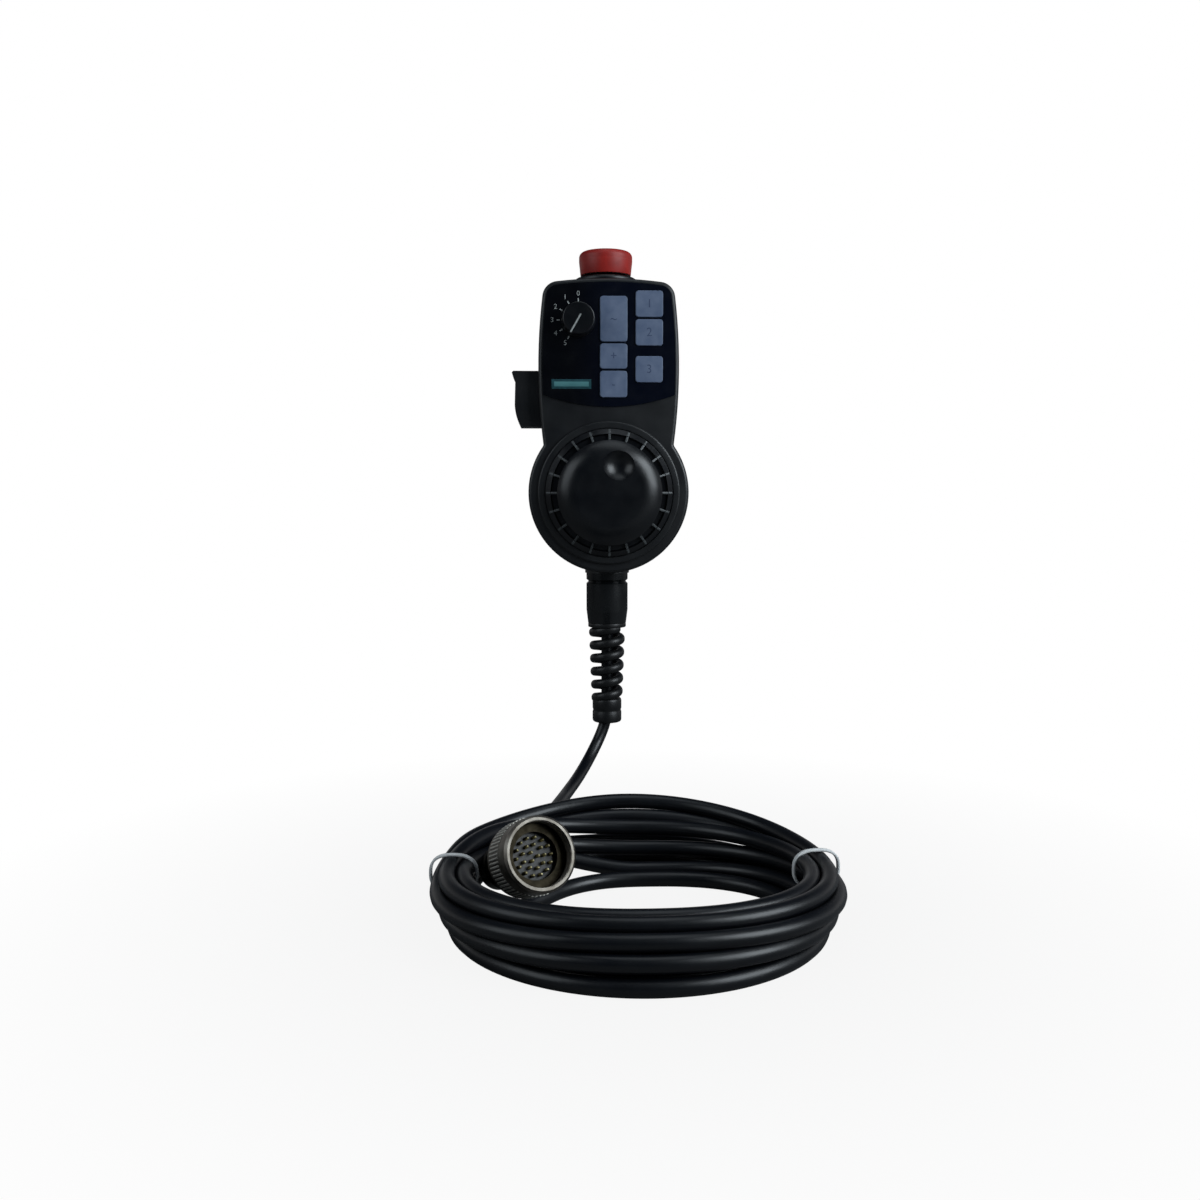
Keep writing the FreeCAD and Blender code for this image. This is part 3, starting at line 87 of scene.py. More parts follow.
CONNECTOR_MOUTH = Vector((-39.6, -287.6, -182))
CONNECTOR_TURN = math.radians(25.7)
CONNECTOR_RISE = math.radians(23)
CONNECTOR_AXIS = Vector((
    math.sin(CONNECTOR_TURN) * math.cos(CONNECTOR_RISE),
    -math.cos(CONNECTOR_TURN) * math.cos(CONNECTOR_RISE),
    math.sin(CONNECTOR_RISE)))
NUT_RADIUS = 15.5
NUT_LENGTH = 20
SHELL_RADIUS = 11
SHELL_LENGTH = 34
CLAMP_RADIUS = 9
CLAMP_LENGTH = 19


# Small tools

def add_node(tree, kind, inputs=None, **settings):
    """One node of a tree with its settings. An input is a value, or an output socket to link from."""
    node = tree.nodes.new(kind)
    for name, value in settings.items():
        setattr(node, name, value)
    for name, value in (inputs or {}).items():
        if isinstance(value, bpy.types.NodeSocket):
            tree.links.new(value, node.inputs[name])
        else:
            node.inputs[name].default_value = value
    return node


def colour(hexes):
    """An sRGB hex value as linear red, green, blue and alpha."""
    parts = [int(hexes[i:i + 2], 16) / 255 for i in (1, 3, 5)]
    linear = [c / 12.92 if c <= 0.04045 else ((c + 0.055) / 1.055) ** 2.4 for c in parts]
    return (*linear, 1)


def per_metre(millimetres):
    """The scale of a texture on object coordinates whose features are this large."""
    return 1 / (millimetres * MM)


def place_object(name, data):
    """A new object of the scene that shows this data."""
    thing = bpy.data.objects.new(name, data)
    bpy.context.scene.collection.objects.link(thing)
    return thing


def link_piece(name, mesh, body):
    """A finished mesh becomes a piece that rides on a body."""
    piece = place_object(name, mesh)
    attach(piece, body)
    return piece


def plain_mesh(thing, name):
    """The mesh that an object shows, modifiers and curve bevel included. The object itself is removed."""
    graph = bpy.context.evaluated_depsgraph_get()
    mesh = bpy.data.meshes.new_from_object(thing.evaluated_get(graph), depsgraph=graph)
    mesh.name = name
    bpy.data.objects.remove(thing)
    return mesh


def mesh_from_tree(name, tree, values, place):
    """The mesh that a Geometry Nodes tree makes from these input values, put in its place."""
    maker = place_object(name, bpy.data.meshes.new(name + "_start"))
    modifier = maker.modifiers.new("shape", "NODES")
    modifier.node_group = tree
    for socket in tree.interface.items_tree:
        if socket.in_out == "INPUT":
            modifier[socket.identifier] = values[socket.name]
    mesh = plain_mesh(maker, name)
    mesh.transform(place)
    return mesh


def new_tree(name, inputs):
    """An empty Geometry Nodes tree with named inputs, its input sockets and its output node."""
    tree = bpy.data.node_groups.new(name, "GeometryNodeTree")
    for label, kind in inputs.items():
        tree.interface.new_socket(label, in_out="INPUT", socket_type="NodeSocket" + kind)
    tree.interface.new_socket("Geometry", in_out="OUTPUT", socket_type="NodeSocketGeometry")
    return tree, add_node(tree, "NodeGroupInput").outputs, add_node(tree, "NodeGroupOutput")


def ring_mesh(name, rings, material):
    """A closed mesh through rings of equally many points, each joined to the next, the last to the first."""
    count = len(rings[0])
    points = [point * MM for ring in rings for point in ring]
    faces = []
    for ring in range(len(rings)):
        here = ring * count
        onward = (ring + 1) % len(rings) * count
        for spot in range(count):
            beside = (spot + 1) % count
            faces.append((here + spot, here + beside, onward + beside, onward + spot))
    mesh = bpy.data.meshes.new(name)
    mesh.from_pydata(points, [], faces)
    mesh.materials.append(material)
    mesh.shade_smooth()
    return mesh


# Materials

# The mix node repeats its sockets for each kind of data. These are the ones for colours.
MIX_SHARE = 0
MIX_FIRST = 6
MIX_SECOND = 7
MIX_RESULT = 2
# Most of a noise texture lies between these values.
NOISE_LOW = 0.3
NOISE_HIGH = 0.7
# A wave texture of scale 1 repeats after this length.
WAVE_REPEAT = math.pi / 10
# Where the black of the film ends and where its blue starts, across the panel
FILM_BLACK_END = -24
FILM_BLUE_START = 4


def new_material(name, base, roughness, ior=1.5, metallic=0.0):
    """A material with one surface shader. Returns it with its tree, the shader and object coordinates.
    Base colour and roughness are its mean values. A mottle or an uneven gloss spreads them."""
    material = bpy.data.materials.new(name)
    material.use_nodes = True
    tree = material.node_tree
    tree.nodes.clear()
    shader = add_node(tree, "ShaderNodeBsdfPrincipled", {
        "Base Color": colour(base), "Roughness": roughness, "IOR": ior, "Metallic": metallic})
    add_node(tree, "ShaderNodeOutputMaterial", {"Surface": shader.outputs["BSDF"]})
    place = add_node(tree, "ShaderNodeTexCoord").outputs["Object"]
    return material, tree, shader, place


def mottle(tree, shader, place, size, dark, light):
    """Slow colour variation between two close tones, as regrind and handling give a moulding."""
    noise = add_node(tree, "ShaderNodeTexNoise", {"Vector": place, "Scale": per_metre(size), "Detail": 4.0})
    spread = add_node(tree, "ShaderNodeMapRange", {
        "Value": noise.outputs["Fac"], "From Min": NOISE_LOW, "From Max": NOISE_HIGH})
    mix = add_node(tree, "ShaderNodeMix", {
        MIX_SHARE: spread.outputs["Result"], MIX_FIRST: colour(dark), MIX_SECOND: colour(light)},
        data_type="RGBA")
    tree.links.new(mix.outputs[MIX_RESULT], shader.inputs["Base Color"])


def grain(tree, shader, place, size, height, strength):
    """A fine raised grain over the whole surface."""
    noise = add_node(tree, "ShaderNodeTexNoise", {"Vector": place, "Scale": per_metre(size), "Detail": 2.0})
    bump = add_node(tree, "ShaderNodeBump", {
        "Height": noise.outputs["Fac"], "Distance": height * MM, "Strength": strength})
    tree.links.new(bump.outputs["Normal"], shader.inputs["Normal"])


def uneven_gloss(tree, shader, place, size, smooth, rough):
    """Roughness that wanders between two values, as on a handled surface."""
    noise = add_node(tree, "ShaderNodeTexNoise", {"Vector": place, "Scale": per_metre(size), "Detail": 5.0})
    spread = add_node(tree, "ShaderNodeMapRange", {
        "Value": noise.outputs["Fac"], "From Min": NOISE_LOW, "From Max": NOISE_HIGH,
        "To Min": smooth, "To Max": rough})
    tree.links.new(spread.outputs["Result"], shader.inputs["Roughness"])


def moulded_charcoal():
    """Polycarbonate blend from a spark-eroded mould: charcoal and matt with a fine pebbled grain.
    The real grain is about 0.2 mm. It is drawn at 0.7 mm, so that it shows."""
    material, *surface = new_material("moulded_charcoal_polycarbonate", "#06090c", roughness=0.44, ior=1.57)
    mottle(*surface, size=11, dark="#05070a", light="#080c10")
    grain(*surface, size=0.7, height=0.03, strength=0.4)
    uneven_gloss(*surface, size=16, smooth=0.38, rough=0.5)
    return material


def printed_film():
    """Polyester film printed on its back: black on the left, dark blue round the keys, with a soft gloss."""
    material, tree, shader, place = new_material("printed_polyester_film", "#020306", roughness=0.2, ior=1.6)
    across = add_node(tree, "ShaderNodeSeparateXYZ", {"Vector": place})
    share = add_node(tree, "ShaderNodeMapRange", {
        "Value": across.outputs["X"], "From Min": FILM_BLACK_END * MM, "From Max": FILM_BLUE_START * MM},
        interpolation_type="SMOOTHSTEP")
    mix = add_node(tree, "ShaderNodeMix", {
        MIX_SHARE: share.outputs["Result"], MIX_FIRST: colour("#020306"), MIX_SECOND: colour("#030715")},
        data_type="RGBA")
    tree.links.new(mix.outputs[MIX_RESULT], shader.inputs["Base Color"])
    grain(tree, shader, place, size=2.4, height=0.012, strength=0.2)
    uneven_gloss(tree, shader, place, size=9, smooth=0.15, rough=0.26)
    return material


def key_caps():
    """Moulded polycarbonate key caps under a matt hard coat: slate blue, with slightly greyer patches."""
    material, *surface = new_material("slate_polycarbonate_key_caps", "#5f6e8a", roughness=0.45, ior=1.58)
    mottle(*surface, size=6, dark="#566682", light="#6a7892")
    grain(*surface, size=0.5, height=0.015, strength=0.3)
    uneven_gloss(*surface, size=5, smooth=0.42, rough=0.58)
    return material


def satin_nylon():
    """Glass-filled nylon from a polished mould: black with a cool satin sheen and faint flow marks."""
    material, *surface = new_material("satin_black_nylon", "#03050a", roughness=0.34, ior=1.53)
    mottle(*surface, size=12, dark="#020408", light="#05080d")
    grain(*surface, size=1.1, height=0.014, strength=0.25)
    uneven_gloss(*surface, size=10, smooth=0.29, rough=0.39)
    return material


def worn_nylon():
    """The same nylon painted light grey on the crests of the grip ribs: a painted highlight where they catch
    the light.
    """
    material, *surface = new_material("nylon_crests_painted_highlight", "#414546", roughness=0.45, ior=1.53)
    mottle(*surface, size=2.2, dark="#34383a", light="#505455")
    return material


def signal_red():
    """ABS moulded in signal red, a little chalky with age."""
    material, *surface = new_material("moulded_red_abs", "#a41b12", roughness=0.5, ior=1.54)
    mottle(*surface, size=8, dark="#96170f", light="#b02117")
    grain(*surface, size=0.7, height=0.012, strength=0.25)
    uneven_gloss(*surface, size=9, smooth=0.44, rough=0.56)
    return material


def glossy_polyamide():
    """Polyamide from a polished mould: deep black and glossy."""
    material, *surface = new_material("glossy_black_polyamide", "#0b0d0f", roughness=0.22, ior=1.53)
    mottle(*surface, size=10, dark="#090b0c", light="#0f1214")
    grain(*surface, size=1.6, height=0.014, strength=0.2)
    uneven_gloss(*surface, size=8, smooth=0.18, rough=0.3)
    return material


def protector_rubber():
    """Thermoplastic rubber of the bend protector: black and dull, with a moulded grain."""
    material, *surface = new_material("moulded_thermoplastic_rubber", "#0a0b0c", roughness=0.42, ior=1.5)
    mottle(*surface, size=6, dark="#070809", light="#0e1011")
    grain(*surface, size=0.8, height=0.03, strength=0.35)
    return material


def cable_jacket():
    """Extruded cable jacket: charcoal with a slate cast, satin, with a slight print-through of the cores."""
    material, *surface = new_material("extruded_polyurethane_jacket", "#05080d", roughness=0.36, ior=1.5)
    mottle(*surface, size=16, dark="#04060a", light="#070a10")
    grain(*surface, size=3.0, height=0.06, strength=0.3)
    uneven_gloss(*surface, size=20, smooth=0.31, rough=0.42)
    return material


def milky_nylon():
    """Natural nylon of the cable ties: milky, and smooth from extrusion."""
    material, *surface = new_material("extruded_natural_nylon", "#eceeec", roughness=0.45, ior=1.53)
    mottle(*surface, size=4, dark="#e4e6e4", light="#f3f4f2")
    return material


def turned_nickel():
    """Nickel plate over turned brass: warm grey metal with fine rings round the connector's axis.
    The real rings are about 0.1 mm apart. They are drawn 0.6 mm apart, so that they show."""
    material, tree, shader, place = new_material(
        "turned_nickel_plate", "#77736b", roughness=0.46, metallic=1.0)
    mottle(tree, shader, place, size=5, dark="#655f57", light="#87827a")
    turn = CONNECTOR_AXIS.rotation_difference(Vector((1, 0, 0))).to_euler()
    along = add_node(tree, "ShaderNodeMapping", {"Vector": place, "Rotation": turn})
    rings = add_node(tree, "ShaderNodeTexWave", {
        "Vector": along.outputs["Vector"], "Scale": per_metre(0.6) * WAVE_REPEAT, "Distortion": 0.5})
    bump = add_node(tree, "ShaderNodeBump", {
        "Height": rings.outputs["Fac"], "Distance": 0.02 * MM, "Strength": 0.3})
    tree.links.new(bump.outputs["Normal"], shader.inputs["Normal"])
    uneven_gloss(tree, shader, place, size=6, smooth=0.38, rough=0.54)
    return material


def rubbed_nickel():
    """Nickel plate of the knurl, painted paler than the turned faces as a highlight of its lit side, with a
    soft sheen.
    """
    material, *surface = new_material("knurl_nickel_painted_highlight", "#c6c4bd", roughness=0.58, metallic=1.0)
    mottle(*surface, size=4, dark="#b4b2aa", light="#d4d2cb")
    return material


def blackened_nickel():
    """Nickel plate over turned brass, painted dark brown-grey as the shade inside the connector's mouth,
    only half glossy.
    """
    material, *surface = new_material("nickel_with_painted_mouth_shade", "#1f1c16", roughness=0.42, metallic=1.0)
    mottle(*surface, size=3, dark="#191610", light="#28241c")
    uneven_gloss(*surface, size=4, smooth=0.34, rough=0.5)
    return material


def insert_resin():
    """Moulded thermoset resin of the contact insert: brown-black and matt."""
    material, *surface = new_material("moulded_thermoset_insert", "#15130f", roughness=0.5, ior=1.55)
    mottle(*surface, size=4, dark="#100f0c", light="#1c1914")
    grain(*surface, size=0.5, height=0.02, strength=0.3)
    return material


def flashed_gold():
    """Thin gold plate over turned brass contacts, dulled to a pale straw colour."""
    material, *surface = new_material("gold_flashed_brass", "#b0a57c", roughness=0.34, metallic=1.0)
    mottle(*surface, size=1.5, dark="#9c9169", light="#c0b58c")
    return material


def plated_steel():
    """Zinc-plated steel of the screws and nuts: grey and slightly cloudy."""
    material, *surface = new_material("zinc_plated_steel", "#8f9294", roughness=0.36, metallic=1.0)
    mottle(*surface, size=1.8, dark="#7f8284", light="#a0a3a5")
    uneven_gloss(*surface, size=2.5, smooth=0.28, rough=0.46)
    return material


def ground_steel():
    """Ground steel of shafts, domes and magnets: bright, with a cloudy gloss from the grinding."""
    material, *surface = new_material("ground_steel", "#a2a4a5", roughness=0.28, metallic=1.0)
    mottle(*surface, size=3, dark="#979a9c", light="#aeb0b1")
    uneven_gloss(*surface, size=1.2, smooth=0.2, rough=0.38)
    return material


def seal_rubber():
    """Moulded nitrile rubber of the seals: black and dull."""
    material, *surface = new_material("moulded_nitrile_rubber", "#0e0e0e", roughness=0.62, ior=1.52)
    mottle(*surface, size=3, dark="#0b0b0b", light="#151515")
    grain(*surface, size=0.6, height=0.03, strength=0.4)
    return material


def switch_polyester():
    """Glass-filled polyester of the switch bodies: dark grey and matt."""
    material, *surface = new_material("moulded_switch_polyester", "#222427", roughness=0.5, ior=1.57)
    mottle(*surface, size=4, dark="#1d1f22", light="#292b2e")
    grain(*surface, size=0.5, height=0.02, strength=0.3)
    return material


def solder_mask():
    """Glass-fibre board under green solder mask. Copper areas of 2.4 mm show through it as paler patches."""
    material, tree, shader, place = new_material("green_solder_mask", "#0f4a2a", roughness=0.3, ior=1.55)
    cells = add_node(tree, "ShaderNodeTexVoronoi", {
        "Vector": place, "Scale": per_metre(2.4)}, distance="MANHATTAN")
    mix = add_node(tree, "ShaderNodeMix", {
        MIX_SHARE: cells.outputs["Distance"], MIX_FIRST: colour("#0c3d22"), MIX_SECOND: colour("#1a6139")},
        data_type="RGBA")
    tree.links.new(mix.outputs[MIX_RESULT], shader.inputs["Base Color"])
    return material


def white_ink():
    """White screen ink, thin enough to look grey on the black film."""
    material, *surface = new_material("white_screen_ink", "#a3a7a5", roughness=0.5)
    mottle(*surface, size=0.9, dark="#8b8f8d", light="#b6bab8")
    return material


def key_ink():
    """Dark blue pad-printed ink of the key marks, rubbed thin."""
    material, *surface = new_material("dark_blue_pad_ink", "#43516d", roughness=0.5)
    mottle(*surface, size=1.4, dark="#394764", light="#4f5d79")
    return material


def teal_print():
    """Teal screen print of the blank plate."""
    material, *surface = new_material("teal_screen_ink", "#1c474d", roughness=0.4)
    mottle(*surface, size=3, dark="#173d43", light="#235158")
    return material


def pale_print():
    """Paler teal screen print of the plate's middle."""
    material, *surface = new_material("pale_teal_screen_ink", "#4f8386", roughness=0.4)
    mottle(*surface, size=7, dark="#4b7f82", light="#548a8d")
    return material


NYLON = satin_nylon()
# Pale grey of the wheel's rib crests: a painted highlight.
CREST_HIGHLIGHT = worn_nylon()
JACKET = cable_jacket()
NICKEL = turned_nickel()
CONTACTS = flashed_gold()
PROTECTOR = protector_rubber()
TIES = milky_nylon()
ZINC = plated_steel()
STEEL = ground_steel()
WHITE = white_ink()
KEY_MARKS = key_ink()
TEAL = teal_print()
PALE_TEAL = pale_print()

SLOT_MATERIALS = {
    "housing_plastic": moulded_charcoal(),
    "panel_film": printed_film(),
    "key_plastic": key_caps(),
    "knob_plastic": NYLON,
    "stop_red": signal_red(),
    "collar_grey": NYLON,
    "seal_rubber": seal_rubber(),
    "screw_steel": ZINC,
    "shaft_steel": STEEL,
    "switch_plastic": switch_polyester(),
    "board_green": solder_mask(),
    "dome_steel": STEEL,
    "gland_plastic": glossy_polyamide(),
    "cable_pvc": JACKET,
    "tie_nylon": TIES,
    "connector_nickel": NICKEL,
    "insert_plastic": insert_resin(),
    "contact_metal": CONTACTS,
}


# Dress of the frame's nodes

WELD_DISTANCE = 0.002
SHARP_ANGLE = math.radians(24)
# The cover's screws on the right, as x and z. Those on the left mirror them.
COVER_SCREWS = [(33.3, 70), (35.6, 44), (32, -67)]
SCREW_TOP_DEPTH = 0.35
SOCKET_RADIUS = 1.45
SOCKET_DEPTH = 1.4


def smooth_faces():
    """A tree that joins a node's loose triangles and shades them smooth, except across real edges."""
    tree, given, result = new_tree("smooth_faces", {"Mesh": "Geometry", "Sharp Angle": "Float"})
    joined = add_node(tree, "GeometryNodeMergeByDistance", {
        "Geometry": given["Mesh"], "Distance": WELD_DISTANCE * MM})
    angle = add_node(tree, "GeometryNodeInputMeshEdgeAngle")
    gentle = add_node(tree, "FunctionNodeCompare", {
        0: angle.outputs["Unsigned Angle"], 1: given["Sharp Angle"]}, operation="LESS_THAN")
    faces = add_node(tree, "GeometryNodeSetShadeSmooth", {"Geometry": joined.outputs[0]}, domain="FACE")
    edges = add_node(tree, "GeometryNodeSetShadeSmooth", {
        "Geometry": faces.outputs[0], "Shade Smooth": gentle.outputs[0]}, domain="EDGE")
    tree.links.new(edges.outputs[0], result.inputs[0])
    return tree


def hex_sockets():
    """A tree that sinks a hexagon socket into each head of the cover's screws."""
    tree, given, result = new_tree("hex_sockets", {"Mesh": "Geometry"})
    prism = add_node(tree, "GeometryNodeMeshCylinder", {
        "Vertices": 6, "Radius": SOCKET_RADIUS * MM, "Depth": 2 * SOCKET_DEPTH * MM})
    prisms = add_node(tree, "GeometryNodeJoinGeometry")
    for x, z in COVER_SCREWS:
        for side in (-x, x):
            placed = add_node(tree, "GeometryNodeTransform", {
                "Geometry": prism.outputs["Mesh"], "Translation": Vector((side, -SCREW_TOP_DEPTH, z)) * MM,
                "Rotation": (math.pi / 2, 0, 0)})
            tree.links.new(placed.outputs[0], prisms.inputs[0])
    sunk = add_node(tree, "GeometryNodeMeshBoolean", {
        "Mesh 1": given["Mesh"], "Mesh 2": prisms.outputs[0]}, operation="DIFFERENCE")
    dressed = add_node(tree, "GeometryNodeSetMaterial", {"Geometry": sunk.outputs[0], "Material": ZINC})
    tree.links.new(dressed.outputs[0], result.inputs[0])
    return tree


def add_smoothing(node, tree):
    """Smooth shading of a node, by the tree for it."""
    modifier = node.modifiers.new("smooth_faces", "NODES")
    modifier.node_group = tree
    modifier[tree.interface.items_tree["Sharp Angle"].identifier] = SHARP_ANGLE


def dress_frame():
    """Every node of the frame takes the material of its slot in the record, and smooth shading. The shell of
    the connector is darker than its nut, as painted shade of its mouth, and the cover's screws have sockets."""
    tree = smooth_faces()
    for subpart in frame["record"]["subparts"]:
        node = nodes[subpart["node"]]
        node.data.materials.clear()
        node.data.materials.append(SLOT_MATERIALS[subpart["material_slot"]])
        add_smoothing(node, tree)
    # The shell's dark nickel is painted shade inside the connector's mouth.
    nodes["connector_shell"].data.materials[0] = blackened_nickel()
    screws = nodes["cover_screws"]
    screws.modifiers.new("hex_sockets", "NODES").node_group = hex_sockets()
    add_smoothing(screws, tree)


# Cable

CABLE_RADIUS = 3.5
CABLE_SMOOTHNESS = 6
CABLE_CLEARANCE = 0.5
LEAD_ROUTE = [
    (0, -22, -172.5), (-0.8, -22, -180), (-3.2, -23, -187), (-7.2, -26.5, -195), (-13, -36, -203.5),
    (-19.5, -54, -209.3), (-26, -76, -212), (-31, -100, -212), (-37, -126, -212), (-45, -153, -212),
    (-54.5, -181, -212), (-64.5, -208, -212), (-71.5, -233, -212), (-70.5, -252, -212)]
TAIL_ROUTE = [
    (-58.2, -214.3, -212), (-64.4, -236.3, -206.2), (-60.8, -243.6, -202.7), (-55.6, -254.4, -197.6)]
COIL_CENTRE = Vector((0, -274, 0))
COIL_RADIUS = 70
POINTS_A_TURN = 24
# Where the turns lie in the bundle, turn by turn at five places: how far out of the mean radius, how high.
# At the ties they nest in rows that lean outwards. In front and at the back they fan out. At the crossing
# they climb over the tail.
LEFT_TIE = [
    (-1.7, 3.5), (-18, 3.5), (5.3, 15.7), (1.8, 21.8), (8.8, 21.8), (12.3, 15.7), (8.8, 9.6), (5.3, 3.5)]
FRONT_FAN = [
    (-2.5, 3.5), (-11, 8.5), (-4.5, 12.5), (-12.2, 22.6), (-5.2, 22.4), (1.6, 18.6), (4.6, 12), (5.2, 3.5)]
RIGHT_TIE = [
    (-1.7, 3.5), (1.8, 9.6), (5.3, 15.7), (1.8, 21.8), (8.8, 21.8), (12.3, 15.7), (8.8, 9.6), (5.3, 3.5)]
BACK_FAN = [
    (-26, 3.5), (-12.5, 3.5), (-4.6, 11.4), (0, 20), (10.5, 30), (6.5, 23.7), (8.6, 11), (10, 3.5)]
CROSSING = [
    (-26.5, 3.5), (8, 16.3), (1.2, 19), (5, 26.5), (12, 24.6), (15.8, 18.4), (15, 11.5)]
LEFT_ANGLE = 182
FRONT_ANGLE = 270
RIGHT_ANGLE = 358
BACK_ANGLE = 450
CROSSING_ANGLE = 508
LAST_ANGLE = 478


def coil_stations():
    """The places of the bundle that the cable passes, in order: angle in degrees, step outwards, height."""
    stations = []
    for turn in range(len(FRONT_FAN)):
        start = 360 * turn
        stations.append((start + LEFT_ANGLE, *LEFT_TIE[turn]))
        stations.append((start + FRONT_ANGLE, *FRONT_FAN[turn]))
        stations.append((start + RIGHT_ANGLE, *RIGHT_TIE[turn]))
        stations.append((start + BACK_ANGLE, *BACK_FAN[turn]))
        if turn < len(CROSSING):
            stations.append((start + CROSSING_ANGLE, *CROSSING[turn]))
    last_start = 360 * (len(FRONT_FAN) - 1)
    stations.append((last_start + LAST_ANGLE, *BACK_FAN[-1]))
    return stations


def clear_of_connector(point):
    """Moves a point of the cable sideways off the connector's axis until the cable clears the connector."""
    back = (CONNECTOR_MOUTH - point).dot(CONNECTOR_AXIS)
    aside = point - CONNECTOR_MOUTH + back * CONNECTOR_AXIS
    if 0 < back < NUT_LENGTH:
        body = NUT_RADIUS
    elif NUT_LENGTH <= back < SHELL_LENGTH:
        body = SHELL_RADIUS
    elif SHELL_LENGTH <= back < SHELL_LENGTH + CLAMP_LENGTH:
        body = CLAMP_RADIUS
    else:
        return point
    need = body + CABLE_RADIUS + CABLE_CLEARANCE
    if aside.length > need:
        return point
    return point + aside.normalized() * (need - aside.length)


def coil_points():
    """The turns of the coil, counter-clockwise from above, eased from station to station."""
    points = []
    stations = coil_stations()
    step = 360 / POINTS_A_TURN
    angle = stations[0][0]
    place = 0
    while angle <= stations[-1][0]:
        while angle > stations[place + 1][0]:
            place += 1
        before, after = stations[place], stations[place + 1]
        share = (angle - before[0]) / (after[0] - before[0])
        eased = share * share * (3 - 2 * share)
        radius = COIL_RADIUS + before[1] + (after[1] - before[1]) * eased
        height = before[2] + (after[2] - before[2]) * eased
        turn = math.radians(angle)
        point = COIL_CENTRE + Vector((radius * math.cos(turn), radius * math.sin(turn), FLOOR_Z + height))
        points.append(clear_of_connector(point))
        angle += step
    return points


def cable(fittings):
    """The whole cable from the bend protector to the connector, as one smooth spline.
    The fittings it is given are not used.
    """
    data = bpy.data.curves.new("cable", "CURVE")
    data.dimensions = "3D"
    data.resolution_u = CABLE_SMOOTHNESS
    data.bevel_depth = CABLE_RADIUS * MM
    data.bevel_resolution = CABLE_SMOOTHNESS
    data.use_fill_caps = True
    data.materials.append(JACKET)
    spline = data.splines.new("NURBS")
    route = LEAD_ROUTE + coil_points() + TAIL_ROUTE
    spline.points.add(len(route) - 1)
    for spot, point in zip(spline.points, route):
        spot.co = (*(Vector(point) * MM), 1)
    spline.order_u = 3
    spline.use_endpoint_u = True
    piece = place_object("cable", data)
    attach(piece, "housing")
    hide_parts("cable_lead", "cable_coil", "cable_tail")


# Cable ties

TIE_WIDTH = 2.2
TIE_THICKNESS = 1.1
TIE_STEPS = 72
# The middle of the loop, outwards from the coil's mean radius and up from the floor, and its reach both ways
TIE_MIDDLE = (6.6, 18.6)
TIE_REACH = (9.8, 7.9)
TIE_SQUARENESS = 2.6
TIE_BACK_ANGLE = 7
# The band's section in shares of its width and thickness
TIE_SECTION = [
    (-0.5, -0.3), (-0.5, 0.3), (-0.4, 0.5), (0.4, 0.5), (0.5, 0.3), (0.5, -0.3), (0.4, -0.5), (-0.4, -0.5)]


def cable_tie(name, node, angle):
    """A loop of nylon round the upper turns of the bundle, at this angle round the coil."""
    turn = math.radians(angle)
    outward = Vector((math.cos(turn), math.sin(turn), 0))
    sideways = Vector((-math.sin(turn), math.cos(turn), 0))
    rings = []
    for step in range(TIE_STEPS):
        way = 2 * math.pi * step / TIE_STEPS
        across, up = (
            math.copysign(abs(part) ** (2 / TIE_SQUARENESS), part)
            for part in (math.cos(way), math.sin(way)))
        radius = COIL_RADIUS + TIE_MIDDLE[0] + TIE_REACH[0] * across
        height = FLOOR_Z + TIE_MIDDLE[1] + TIE_REACH[1] * up
        middle = COIL_CENTRE + outward * radius + Vector((0, 0, height))
        out = outward * math.cos(way) + Vector((0, 0, math.sin(way)))
        rings.append([
            middle + sideways * side * TIE_WIDTH + out * lift * TIE_THICKNESS for side, lift in TIE_SECTION])
    piece = link_piece(name, ring_mesh(name, rings, TIES), "housing")
    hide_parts(node)
    return piece


# Pieces made by node trees

UPWARDS = math.pi / 2
BAR_EDGE_SHARE = 0.3
BAR_EDGE_STEPS = 2
CONTACT_SIDES = 16
STEPS_A_WINDING = 48
STRAND_EDGE_STEPS = 5


